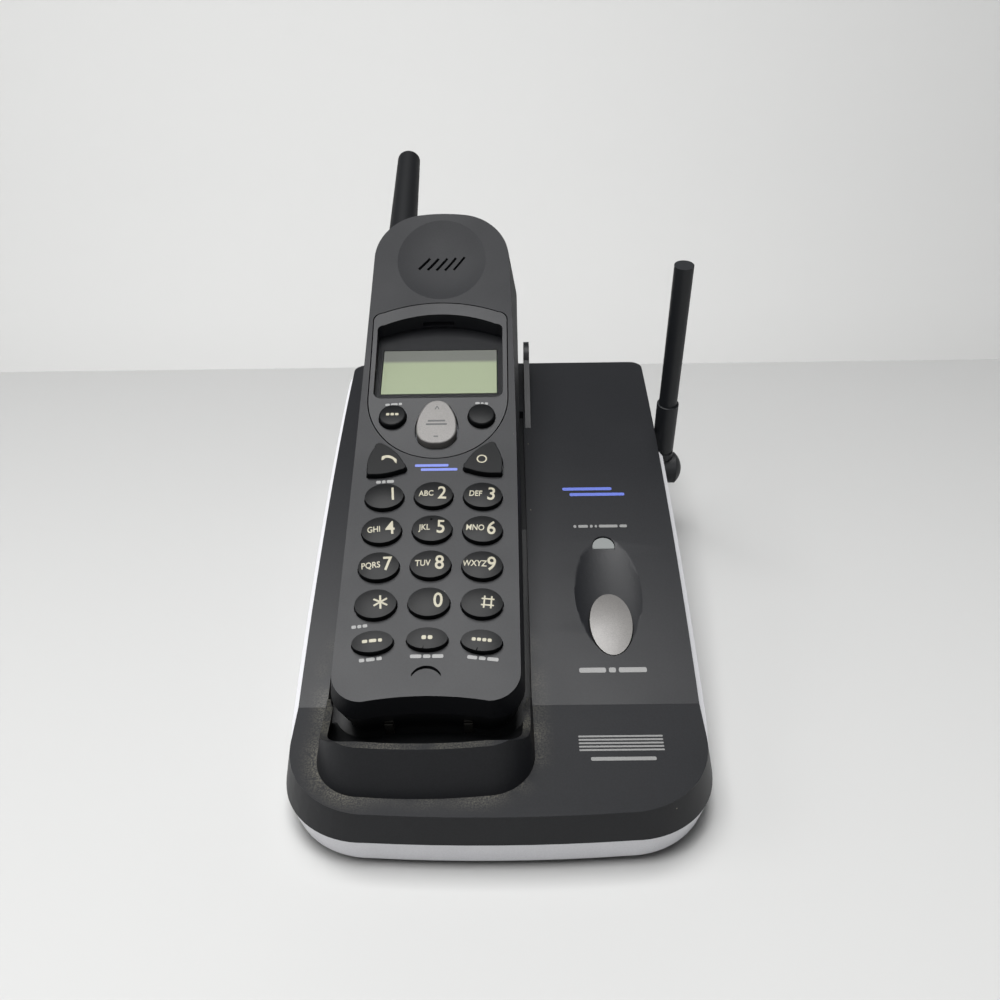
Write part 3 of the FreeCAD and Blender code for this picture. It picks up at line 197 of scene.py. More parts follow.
def dust_specks(tree: bpy.types.NodeTree, where: bpy.types.NodeSocket, cell_mm: float,
                speck_mm: float, share: float) -> bpy.types.NodeSocket:
    """Mask of lone dust specks, one in some of the cells.

    Args:
        tree: The material's tree.
        where: The coordinates to read.
        cell_mm: The size of a cell.
        speck_mm: How wide a speck is.
        share: The share of cells that hold one.

    Returns:
        The socket of the mask, 1 on a speck.
    """
    cells = add(tree, "ShaderNodeTexVoronoi", Vector=where, Scale=1 / (cell_mm * MM))
    near = add(tree, "ShaderNodeMath", {"operation": "LESS_THAN"},
               i0=cells.outputs["Distance"], i1=speck_mm / cell_mm / 2)
    draw = add(tree, "ShaderNodeSeparateColor", i0=cells.outputs["Color"])
    chosen = add(tree, "ShaderNodeMath", {"operation": "LESS_THAN"}, i0=draw.outputs[0], i1=share)
    return add(tree, "ShaderNodeMath", {"operation": "MULTIPLY"},
               i0=near.outputs[0], i1=chosen.outputs[0]).outputs[0]


@dataclass(frozen=True)
class MouldedAbs(Finish):
    """ABS moulded against a spark-eroded tool: a fine even grain that spreads the highlight."""

    sheen: float = 0.25
    grain_mm: float = 0.55
    depth_mm: float = 0.03
    fleck: float = 0.15
    speck_share: float = 0.08
    fresh: float = 0.15
    dust: str = "#6f6c60"

    def build(self, dust_box: tuple[Vector, Vector, float] | None = None,
              dulling: tuple[Vector, float, float] | None = None) -> bpy.types.Material:
        """Make the material.

        Args:
            dust_box: Middle, half size and corner radius of what dust gathers round, or nothing.
            dulling: A direction, and where along it the grain starts and stops turning duller, or nothing.

        Returns:
            The material.
        """
        made, tree, shader, place = self.start()
        where = place.outputs["Object"]
        self.rough(tree, shader, where, 24.0, 0.05)
        self.grain(tree, shader, where, self.grain_mm, self.depth_mm, 0.35)
        if dulling:
            self.dull(tree, shader, where, *dulling)
        noise = add(tree, "ShaderNodeTexNoise", Vector=where, Scale=1 / (self.grain_mm * MM), Detail=1.0)
        fleck = add(tree, "ShaderNodeMapRange", Value=noise.outputs["Fac"], i1=0.35, i2=0.65,
                    i3=1 - self.fleck, i4=1 + self.fleck)
        base = add(tree, "ShaderNodeMix", {"data_type": "RGBA", "blend_type": "MULTIPLY"})
        base.inputs["Factor"].default_value = 1.0
        base.inputs["A"].default_value = linear(self.colour)
        tree.links.new(fleck.outputs[0], base.inputs["B"])
        mask = dust_specks(tree, where, 5.5, 0.42, self.speck_share)
        if dust_box:
            drift = self.drift(tree, where, dust_box)
            mask = add(tree, "ShaderNodeMath", {"operation": "MAXIMUM"}, i0=mask, i1=drift).outputs[0]
        dusty = add(tree, "ShaderNodeMix", {"data_type": "RGBA"})
        tree.links.new(mask, dusty.inputs["Factor"])
        tree.links.new(base.outputs["Result"], dusty.inputs["A"])
        dusty.inputs["B"].default_value = linear(self.dust)
        tree.links.new(dusty.outputs["Result"], shader.inputs["Base Color"])
        return made

    def dull(self, tree: bpy.types.NodeTree, shader: bpy.types.Node, where: bpy.types.NodeSocket,
             along: Vector, low: float, high: float) -> None:
        """Leave the grain fresher and duller towards the end that fingers don't polish.

        Args:
            tree: The material's tree.
            shader: Its shader.
            where: The coordinates to read.
            along: The direction the grain grows duller in.
            low: Where along it the change starts.
            high: Where it is full.
        """
        reach = add(tree, "ShaderNodeVectorMath", {"operation": "DOT_PRODUCT"}, i0=where, i1=along)
        fresh = add(tree, "ShaderNodeMapRange", {"interpolation_type": "SMOOTHSTEP"},
                    Value=reach.outputs["Value"], i1=low, i2=high, i3=0.0, i4=self.fresh)
        worn = shader.inputs["Roughness"].links[0].from_socket
        duller = add(tree, "ShaderNodeMath", i0=worn, i1=fresh.outputs[0])
        tree.links.new(duller.outputs[0], shader.inputs["Roughness"])

    def drift(self, tree: bpy.types.NodeTree, where: bpy.types.NodeSocket,
              dust_box: tuple[Vector, Vector, float]) -> bpy.types.NodeSocket:
        """Mask of the dust that gathers on the deck round an upright's foot.

        Args:
            tree: The material's tree.
            where: The coordinates to read.
            dust_box: Middle, half size and corner radius of the upright in plan.

        Returns:
            The socket of the mask.
        """
        middle, half, corner = dust_box
        flat = add(tree, "ShaderNodeVectorMath", {"operation": "MULTIPLY"}, i0=where, i1=(1, 1, 0))
        off = add(tree, "ShaderNodeVectorMath", {"operation": "SUBTRACT"},
                  i0=flat.outputs[0], i1=(middle.x, middle.y, 0))
        side = add(tree, "ShaderNodeVectorMath", {"operation": "ABSOLUTE"}, i0=off.outputs[0])
        past = add(tree, "ShaderNodeVectorMath", {"operation": "SUBTRACT"},
                   i0=side.outputs[0], i1=(half.x - corner, half.y - corner, 0))
        beyond = add(tree, "ShaderNodeVectorMath", {"operation": "MAXIMUM"}, i0=past.outputs[0],
                     i1=(0, 0, 0))
        reach = add(tree, "ShaderNodeVectorMath", {"operation": "LENGTH"}, i0=beyond.outputs[0])
        fade = add(tree, "ShaderNodeMapRange", {"interpolation_type": "SMOOTHSTEP"},
                   Value=reach.outputs["Value"], i1=corner - 1.5 * MM, i2=corner + 7 * MM, i3=1.0, i4=0.0)
        fine = add(tree, "ShaderNodeTexNoise", Vector=where, Scale=1 / (0.5 * MM), Detail=2.0)
        grit = add(tree, "ShaderNodeMapRange", Value=fine.outputs["Fac"], i1=0.38, i2=0.72)
        cloud = add(tree, "ShaderNodeTexNoise", Vector=where, Scale=1 / (14 * MM), Detail=2.0)
        patch = add(tree, "ShaderNodeMapRange", Value=cloud.outputs["Fac"], i1=0.35, i2=0.7, i3=0.0, i4=0.6)
        facing = add(tree, "ShaderNodeNewGeometry")
        split = add(tree, "ShaderNodeSeparateXYZ", i0=facing.outputs["Normal"])
        level = add(tree, "ShaderNodeMapRange", Value=split.outputs["Z"], i1=0.75, i2=0.97)
        mask = fade.outputs[0]
        for part in (grit, patch, level):
            both = add(tree, "ShaderNodeMath", {"operation": "MULTIPLY"}, i0=mask, i1=part.outputs[0])
            mask = both.outputs[0]
        return mask


@dataclass(frozen=True)
class SatinPlastic(Finish):
    """Plastic moulded in a polished or brushed tool: a tight highlight with faint wipe marks."""

    sheen: float = 0.35
    grain_mm: float = 0.8
    depth_mm: float = 0.008

    def build(self) -> bpy.types.Material:
        """Make the material.

        Returns:
            The material.
        """
        made, tree, shader, place = self.start()
        self.rough(tree, shader, place.outputs["Object"], 6.0, 0.04)
        self.grain(tree, shader, place.outputs["Object"], self.grain_mm, self.depth_mm, 0.3)
        return made


@dataclass(frozen=True)
class MetallicLacquer(Finish):
    """Silver-grey lacquer on plastic: tiny flakes under a satin clear coat."""

    flake_mm: float = 0.35

    def build(self) -> bpy.types.Material:
        """Make the material.

        Returns:
            The material.
        """
        made, tree, shader, place = self.start()
        where = place.outputs["Object"]
        self.rough(tree, shader, where, 5.0, 0.05)
        noise = add(tree, "ShaderNodeTexNoise", Vector=where, Scale=1 / (self.flake_mm * MM), Detail=1.0)
        sparkle = add(tree, "ShaderNodeMapRange", Value=noise.outputs["Fac"],
                      i1=0.3, i2=0.7, i3=0.86, i4=1.12)
        self.tint(tree, shader, sparkle.outputs[0])
        shader.inputs["Metallic"].default_value = 0.25
        shader.inputs["Coat Weight"].default_value = 0.2
        shader.inputs["Coat Roughness"].default_value = 0.3
        return made


@dataclass(frozen=True)
class ScreenInk(Finish):
    """Pad-printed ink: flat, a little chalky, with pinholes where the grain shows through."""

    def build(self) -> bpy.types.Material:
        """Make the material.

        Returns:
            The material.
        """
        made, tree, shader, place = self.start()
        noise = add(tree, "ShaderNodeTexNoise", Vector=place.outputs["Object"], Scale=1 / (0.25 * MM))
        worn = add(tree, "ShaderNodeMapRange", Value=noise.outputs["Fac"], i1=0.3, i2=0.7, i3=0.8, i4=1.05)
        self.tint(tree, shader, worn.outputs[0])
        return made


@dataclass(frozen=True)
class ClearAcrylic(Finish):
    """Cast acrylic pane: nearly all see-through, with a sharp thin reflection."""

    veil: float = 0.14

    def build(self) -> bpy.types.Material:
        """Make the material.

        Returns:
            The material.
        """
        made, tree, shader, place = self.start()
        self.rough(tree, shader, place.outputs["Object"], 8.0, 0.03)
        shader.inputs["Alpha"].default_value = self.veil
        shader.inputs["IOR"].default_value = 1.49
        made.surface_render_method = "BLENDED"
        return made


@dataclass(frozen=True)
class ReflectiveLcd(Finish):
    """Liquid crystal cell over a grey-green reflector, with the shade of its frame along the top."""

    shade: str = "#696b65"

    def build(self, along: Vector, low: float, high: float) -> bpy.types.Material:
        """Make the material.

        Args:
            along: The direction from the cell's lower edge to its upper edge.
            low: Where the lower edge lies in that direction, in metres.
            high: Where the upper edge lies.

        Returns:
            The material.
        """
        made, tree, shader, place = self.start()
        reach = add(tree, "ShaderNodeVectorMath", {"operation": "DOT_PRODUCT"},
                    i0=place.outputs["Object"], i1=along)
        ridge = low + (high - low) * 0.74
        edge = add(tree, "ShaderNodeMapRange", {"interpolation_type": "SMOOTHSTEP"},
                   Value=reach.outputs["Value"], i1=ridge - 1.3 * MM, i2=ridge + 0.9 * MM)
        weave = add(tree, "ShaderNodeTexNoise", Vector=place.outputs["Object"], Scale=1 / (0.4 * MM))
        mottle = add(tree, "ShaderNodeMapRange", Value=weave.outputs["Fac"], i3=0.94, i4=1.06)
        tone = add(tree, "ShaderNodeMix", {"data_type": "RGBA"})
        tree.links.new(edge.outputs[0], tone.inputs["Factor"])
        tone.inputs["A"].default_value = linear(self.colour)
        tone.inputs["B"].default_value = linear(self.shade)
        tint = add(tree, "ShaderNodeMix", {"data_type": "RGBA", "blend_type": "MULTIPLY"})
        tint.inputs["Factor"].default_value = 1.0
        tree.links.new(tone.outputs["Result"], tint.inputs["A"])
        tree.links.new(mottle.outputs[0], tint.inputs["B"])
        tree.links.new(tint.outputs["Result"], shader.inputs["Base Color"])
        return made


@dataclass(frozen=True)
class PlatedMetal(Finish):
    """Drawn and plated metal: a bright sheen with fine draw lines."""

    def build(self) -> bpy.types.Material:
        """Make the material.

        Returns:
            The material.
        """
        made, tree, shader, place = self.start()
        self.rough(tree, shader, place.outputs["Object"], 1.2, 0.06)
        self.grain(tree, shader, place.outputs["Object"], 0.15, 0.004, 0.3)
        shader.inputs["Metallic"].default_value = 1.0
        return made


@dataclass(frozen=True)
class Paper(Finish):
    """Matte studio floor: plain, pale and without gloss."""

    def build(self) -> bpy.types.Material:
        """Make the material.

        Returns:
            The material.
        """
        made, tree, shader, place = self.start()
        self.grain(tree, shader, place.outputs["Object"], 1.5, 0.02, 0.08)
        shader.inputs["Specular IOR Level"].default_value = 0.15
        return made


# Corners nearer than this are one corner, and facets that bend by less than this are one facet.
SAME_PLACE = 2e-7
FLAT_DEG = 0.15


# --- meshes ---------------------------------------------------------------------------------------

@dataclass(frozen=True)
class Creases:
    """How the real edges of a moulding are told from the joints between its facets."""

    # More than this between a facet and the curve it stands for, and the edge is a real one.
    sag: float = 0.065 * MM
    # A shallow dish meets its face at 13 degrees or more, and no facet near it bends by 10.
    dish: Vector | None = None
    dish_reach: float = 25.0 * MM
    rim_deg: float = 10.0
    always_deg: float = 32.0
    never_deg: float = 4.0

    def crisp(self, edge: bmesh.types.BMEdge) -> bool:
        """Tell whether an edge is a real one.

        Args:
            edge: Any edge.

        Returns:
            Whether it shades as a crisp edge.
        """
        angle = math.degrees(edge.calc_face_angle(0))
        if len(edge.link_faces) != 2 or angle > self.always_deg:
            return True
        if self.dish is not None and angle > self.rim_deg:
            if all((vert.co - self.dish).length < self.dish_reach for vert in edge.verts):
                return True
        if angle < self.never_deg:
            return False
        length = max(edge.calc_length(), 1e-9)
        width = min(face.calc_area() for face in edge.link_faces) * 1.5 / length
        return width * math.radians(angle) / 8 > self.sag


def piece_from(bm: bmesh.types.BMesh, name: str, material: bpy.types.Material,
               creases: Creases = Creases()) -> bpy.types.Object:
    """Turn a bmesh into a linked object whose sharp edges stay sharp.

    Args:
        bm: The mesh, freed here.
        name: The piece's name.
        material: Its material.
        creases: Which edges are crisp.

    Returns:
        The object.
    """
    for face in bm.faces:
        face.smooth = True
    for edge in bm.edges:
        edge.smooth = not creases.crisp(edge)
    mesh = bpy.data.meshes.new(name)
    bm.to_mesh(mesh)
    bm.free()
    mesh.materials.append(material)
    made = bpy.data.objects.new(name, mesh)
    bpy.context.scene.collection.objects.link(made)
    return made


def refined(node: str, material: bpy.types.Material, round_mm: float, body: str,
            segments: int = 2, limit_deg: float = 34.0,
            creases: Creases = Creases()) -> bpy.types.Object:
    """Finish a moulding: a merged copy of its solid with softly rounded edges.

    Args:
        node: The solid's name.
        material: The moulding's material.
        round_mm: Edge radius, or 0 for none.
        body: The body it rides on.
        segments: Faces across a rounded edge.
        limit_deg: Edges flatter than this aren't rounded.
        creases: Which edges shade as crisp ones.

    Returns:
        The finished piece, which stands for the solid.
    """
    bm = bmesh.new()
    bm.from_mesh(frame["nodes"][node].data)
    bmesh.ops.remove_doubles(bm, verts=bm.verts, dist=SAME_PLACE)
    bmesh.ops.dissolve_degenerate(bm, edges=bm.edges, dist=SAME_PLACE / 2)
    bmesh.ops.dissolve_limit(bm, angle_limit=math.radians(FLAT_DEG), verts=bm.verts, edges=bm.edges,
                             use_dissolve_boundaries=False)
    made = piece_from(bm, node + "_finished", material, creases)
    if round_mm:
        rounding = made.modifiers.new("rounded_edges", "BEVEL")
        rounding.width = round_mm * MM
        rounding.segments = segments
        rounding.limit_method = "ANGLE"
        rounding.angle_limit = math.radians(limit_deg)
        rounding.use_clamp_overlap = True
        rounding.miter_outer = "MITER_ARC"
    weighting = made.modifiers.new("weighted_shading", "WEIGHTED_NORMAL")
    weighting.keep_sharp = True
    weighting.weight = 80
    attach(made, body)
    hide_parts(node)
    log.info("%s finished from its solid, edges %.2f mm", node, round_mm)
    return made


# A crowned key top has no edge of its own, only the steep one all round.
CROWNED = Creases(sag=1.0 * MM)


def dress(nodes: Iterable[str], material: bpy.types.Material) -> None:
    """Give carried solids their material."""
    for node in nodes:
        mesh = frame["nodes"][node].data
        mesh.materials.clear()
        mesh.materials.append(material)


def surface_of(*pieces: bpy.types.Object) -> BVHTree:
    """Make the search tree over the meshes that ink is printed on.

    Args:
        pieces: The pieces.

    Returns:
        The tree.
    """
    bm = bmesh.new()
    for piece in pieces:
        bm.from_mesh(piece.data)
    tree = BVHTree.FromBMesh(bm)
    bm.free()
    return tree


@dataclass(frozen=True)
class Plane:
    """A flat working plane laid over a surface: its middle and its three directions."""

    middle: Vector
    across: Vector
    along: Vector
    out: Vector

    def at(self, x_mm: float, y_mm: float, lift_mm: float = 0.0) -> Vector:
        """A place given in millimetres across, along and out of the plane."""
        return self.middle + (self.across * x_mm + self.along * y_mm + self.out * lift_mm) * MM

    def turned(self, degrees: float) -> "Plane":
        """The same plane with its axes turned about its outward direction."""
        spin = Matrix.Rotation(math.radians(degrees), 3, self.out)
        return Plane(self.middle, spin @ self.across, spin @ self.along, self.out)

    def moved(self, x_mm: float, y_mm: float) -> "Plane":
        """The same plane about another middle."""
        return Plane(self.at(x_mm, y_mm), self.across, self.along, self.out)


INK_MM = 0.06
# Print is let down on to its face from this height, and comes to rest with its middle this part of
# its thickness above the face.
DROP_MM = 12.0
PROUD = 0.2
GRID_MM = 0.8


def printed(name: str, flat: bmesh.types.BMesh, plane: Plane, target: BVHTree,
            material: bpy.types.Material, body: str) -> bpy.types.Object:
    """Lay a flat ink shape onto a curved surface.

    Args:
        name: The piece's name.
        flat: The shape in millimetres, its thickness along z, freed here.
        plane: Where it lies.
        target: The surface under it.
        material: The ink.
        body: The body it rides on.

    Returns:
        The printed piece.
    """
    for axis in (0, 1):
        reach = [vert.co[axis] for vert in flat.verts]
        normal = Vector((1, 0, 0)) if axis == 0 else Vector((0, 1, 0))
        for step in range(math.ceil(min(reach) / GRID_MM), math.floor(max(reach) / GRID_MM) + 1):
            bmesh.ops.bisect_plane(flat, geom=flat.verts[:] + flat.edges[:] + flat.faces[:], dist=1e-5,
                                   plane_co=normal * step * GRID_MM, plane_no=normal)
    bmesh.ops.triangulate(flat, faces=flat.faces[:])
    for vert in flat.verts:
        above = plane.at(vert.co.x, vert.co.y, DROP_MM)
        hit = target.ray_cast(above, -plane.out)[0]
        ground = hit if hit is not None else plane.at(vert.co.x, vert.co.y)
        vert.co = ground + plane.out * ((vert.co.z + INK_MM * PROUD) * MM)
    made = piece_from(flat, name, material)
    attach(made, body)
    return made


def letters(text: str, size_mm: float, squeeze: float) -> bmesh.types.BMesh:
    """Digits or letters as a thin closed mesh, centred, in millimetres.

    Args:
        text: What is printed.
        size_mm: Letter size.
        squeeze: Width against the font's own.

    Returns:
        The mesh.
    """
    curve = bpy.data.curves.new("lettering", "FONT")
    curve.body = text
    curve.size = size_mm
    curve.extrude = INK_MM / 2
    curve.offset = size_mm * 0.012
    curve.resolution_u = 4
    curve.align_x = "CENTER"
    curve.align_y = "CENTER"
    holder = bpy.data.objects.new("lettering", curve)
    mesh = bpy.data.meshes.new_from_object(holder)
    bm = bmesh.new()
    bm.from_mesh(mesh)
    bpy.data.objects.remove(holder)
    bpy.data.curves.remove(curve)
    bpy.data.meshes.remove(mesh)
    bmesh.ops.remove_doubles(bm, verts=bm.verts, dist=1e-4)
    bmesh.ops.scale(bm, vec=(squeeze, 1, 1), verts=bm.verts)
    return bm


def bars(rows: Sequence[tuple[float, float, float, float]]) -> bmesh.types.BMesh:
    """Small round-ended bars, such as stand in for a word.

    Args:
        rows: Middle x, middle y, width and height of each bar, in millimetres.

    Returns:
        The mesh, in millimetres.
    """
    bm = bmesh.new()
    for x, y, width, height in rows:
        made = bmesh.ops.create_cube(bm, size=1.0)["verts"]
        bmesh.ops.scale(bm, vec=(width, height, INK_MM), verts=made)
        bmesh.ops.translate(bm, vec=(x, y, 0), verts=made)
    upright = [edge for edge in bm.edges if abs(edge.verts[0].co.z - edge.verts[1].co.z) > INK_MM / 2]
    bmesh.ops.bevel(bm, geom=upright, offset=min(row[3] for row in rows) * 0.3, segments=2,
                    profile=0.5, affect="EDGES", material=-1)
    long_edges = [edge for edge in bm.edges if edge.calc_length() > 1.5]
    bmesh.ops.subdivide_edges(bm, edges=long_edges, cuts=3)
    bmesh.ops.triangulate(bm, faces=[face for face in bm.faces if len(face.verts) > 4])
    return bm


def word_bars(widths: Sequence[float], height: float, gap: float) -> bmesh.types.BMesh:
    """A centred row of bars, one to a letter or a syllable.

    Args:
        widths: The width of each bar, in millimetres.
        height: Their height.
        gap: The space between two.

    Returns:
        The mesh, in millimetres.
    """
    total = sum(widths) + gap * (len(widths) - 1)
    place = -total / 2
    rows = []
    for width in widths:
        rows.append((place + width / 2, 0.0, width, height))
        place += width + gap
    return bars(rows)


# --- the finishes of this phone -------------------------------------------------------------------

# Charcoal ABS, spark-eroded texture: a soft wide highlight, grey where it faces the light.
CASE_ABS = MouldedAbs("charcoal_abs_fine_texture", "#131417")
# The same ABS under years of dust that settles on level decks.
DECK_ABS = MouldedAbs("charcoal_abs_dusty_deck", "#121316", speck_share=0.16)
# Light grey ABS of the lower cabinet, the same tool texture: pale and even.
HULL_ABS = MouldedAbs("light_grey_abs_fine_texture", "#c9c9cc", fleck=0.03, speck_share=0.03,
                      dust="#a9a698")
# Black ABS of the display panel, a shade smoother than the case.
PANEL_ABS = MouldedAbs("black_abs_panel", "#131417", Gloss.SATIN, speck_share=0.05)
# Black ABS of the tub, always in the shade.
TUB_ABS = MouldedAbs("black_abs_tub", "#0f1012", speck_share=0.15)
# Silicone-coated key tops: darker than the case, with a tighter highlight round the crown.
KEY_TOP = SatinPlastic("black_key_top_satin", "#0b0c0d", Gloss.SATIN, 0.1)
# Silver lacquered keys.
SILVER = MetallicLacquer("silver_grey_lacquer", "#615f5d", Gloss.FINE_TEXTURE)
# Thermoplastic rubber of the antennas: near black, soft sheen.
ANTENNA_RUBBER = SatinPlastic("black_antenna_rubber", "#131518", Gloss.FINE_TEXTURE, grain_mm=0.6,
                              depth_mm=0.01)
# The stub antenna's rubber: a darker, duller copy of the antenna rubber, its darker colour painted shade for
# how the light falls on the stub.
STUB_RUBBER = SatinPlastic("black_stub_rubber", "#0e0f11", Gloss.RUBBED, 0.18, grain_mm=0.6, depth_mm=0.01)
# Nitrile feet.
FOOT_RUBBER = SatinPlastic("black_foot_rubber", "#1a1a1a", Gloss.RUBBED, grain_mm=0.6, depth_mm=0.02)
# Diffusing polystyrene lens over the light.
LENS = SatinPlastic("grey_diffusing_lens", "#717473", Gloss.SATIN)
# Warm white pad-print ink of the keys.
KEY_INK = ScreenInk("cream_key_ink", "#98937f")
# Silver-grey ink of the labels on the cases.
LABEL_INK = ScreenInk("silver_label_ink", "#747473")
# Blue ink of the plain stripes.
BLUE_INK = ScreenInk("blue_stripe_ink", "#5161b0")
# Dark ink on the silver key.
DARK_INK = ScreenInk("dark_key_ink", "#2c2e2f")
# Acrylic display window.
WINDOW = ClearAcrylic("clear_acrylic_window", "#0c0d0e", Gloss.POLISHED)
# Reflective liquid crystal cell.
LCD = ReflectiveLcd("grey_green_lcd", "#9ca788", Gloss.SATIN)
# Glass-fibre board under green solder resist.
BOARD = SatinPlastic("green_solder_resist", "#1f5a33", Gloss.SATIN, grain_mm=1.2, depth_mm=0.02)
# Black moulded sockets and capsules.
COMPONENT = SatinPlastic("black_component_body", "#141415", Gloss.FINE_TEXTURE, grain_mm=0.5,
                         depth_mm=0.01)
# Zinc-plated steel.
STEEL = PlatedMetal("zinc_plated_steel", "#b7babd", Gloss.SATIN)
# Nickel-plated phosphor bronze: greyer and duller than the screws.
CONTACT = PlatedMetal("nickel_plated_contact", "#5e5c58", Gloss.FINE_TEXTURE)
# Translucent silicone of the keypad mat.
SILICONE = SatinPlastic("grey_silicone_mat", "#7d8084", Gloss.RUBBED)
# Shrink wrap of the battery pack.
SHRINK_WRAP = SatinPlastic("blue_shrink_wrap", "#2b4b7a", Gloss.SATIN, grain_mm=2.0, depth_mm=0.05)
# Red epoxy of the light.
EPOXY = SatinPlastic("red_led_epoxy", "#8a1f18", Gloss.POLISHED)
# Floor of the studio.
FLOOR = Paper("pale_paper_floor", "#c9c9c8", Gloss.RUBBED)


# --- sub-assemblies -------------------------------------------------------------------------------

@dataclass
class DeskBase:
    """The desk base: two cabinets, the tub, feet, inlets and what is printed on the lid."""

    lid_round_mm: float = 0.9
    hull_round_mm: float = 0.5
    cup_corner_mm: float = 14.0
    cup_half_mm: tuple[float, float] = (31.6, 30.0)
    cup_front_mm: float = 8.1
    body: str = "base"

    def build(self) -> None:
        """Make every piece of the base."""
        low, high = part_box("cradle_tub")
        pocket = (low.x + high.x) / 2
        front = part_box("base_upper_cabinet")[0].y
        half = Vector((*self.cup_half_mm, 0)) * MM
        middle = Vector((pocket, front + self.cup_front_mm * MM + half.y, 0))
        deck = DECK_ABS.build((middle, half, self.cup_corner_mm * MM))
        self.lid = refined("base_upper_cabinet", deck, self.lid_round_mm, self.body, 3, 24.0)
        refined("base_lower_cabinet", HULL_ABS.build(), self.hull_round_mm, self.body, 3)
        refined("cradle_tub", TUB_ABS.build(), 0.0, self.body)
        refined("base_feet", FOOT_RUBBER.build(), 0.4, self.body)
        refined("line_jack", COMPONENT.build(), 0.2, self.body)
        refined("power_jack", COMPONENT.build(), 0.2, self.body)
        dress(["base_circuit_board", "button_board"], BOARD.build())
        dress(["base_screws", "antenna_pivot"], STEEL.build())
        dress(["charge_contacts"], CONTACT.build())
        dress(["locator_switch"], COMPONENT.build())
        dress(["indicator_led"], EPOXY.build())
        self.print_lid(front)

    def print_lid(self, front: float) -> None:
        """Print plain stripes and bars where such a base has its labels.

        Args:
            front: The front wall's y, in metres.
        """
        surface = surface_of(self.lid)
        label = LABEL_INK.build()
        blue = BLUE_INK.build()
        across = Vector((1, 0, 0))

        def plane(x_mm: float, depth_mm: float) -> Plane:
            """A level plane above the lid at a depth from the front."""
            return Plane(Vector((x_mm * MM, front + depth_mm * MM, 60 * MM)), across,
                         Vector((0, 1, 0)), Vector((0, 0, 1)))

        def ink(name: str, flat: bmesh.types.BMesh, where: Plane, material: bpy.types.Material) -> None:
            """Print one shape on the lid."""
            printed(name, flat, where, surface, material, self.body)

        over_light = word_bars([1.0, 3.4, 1.0, 0.8, 6.6, 2.6], 1.3, 0.7)
        ink("lid_label_light", over_light, plane(36.2, 110.3), label)
        ink("lid_label_locator", word_bars([8.4, 2.2, 8.8], 1.7, 0.9), plane(36.0, 52.3), label)
        stripes = [(0.0, -3.0 + 1.25 * row, 25.0, 0.62) for row in range(5)]
        ink("deck_stripes", bars(stripes), plane(36.2, 26.8), label)
        ink("deck_bar", bars([(0.0, 0.0, 19.0, 1.3)]), plane(36.4, 20.6), label)
        pair = bars([(-1.5, 1.6, 18.0, 1.5), (2.0, -1.3, 20.0, 1.5)])
        ink("lid_blue_stripe", pair, plane(34.2, 127.4), blue)


@dataclass
class LocatorControls:
    """The locator button in its hollow and the light's lens."""

    def build(self) -> None:
        """Make the button and the lens."""
        refined("locator_button", SILVER.build(), 0.45, "locator_button", 3)
        refined("charge_indicator_lens", LENS.build(), 0.2, "base")


@dataclass
class BaseAntenna:
    """The folding whip with its knuckle and sleeve."""

    def build(self) -> None:
        """Make the whip and its sleeve."""
        rubber = ANTENNA_RUBBER.build()
        refined("base_antenna", rubber, 0.35, "antenna", 3)
        refined("antenna_sleeve", rubber, 0.3, "antenna", 2)


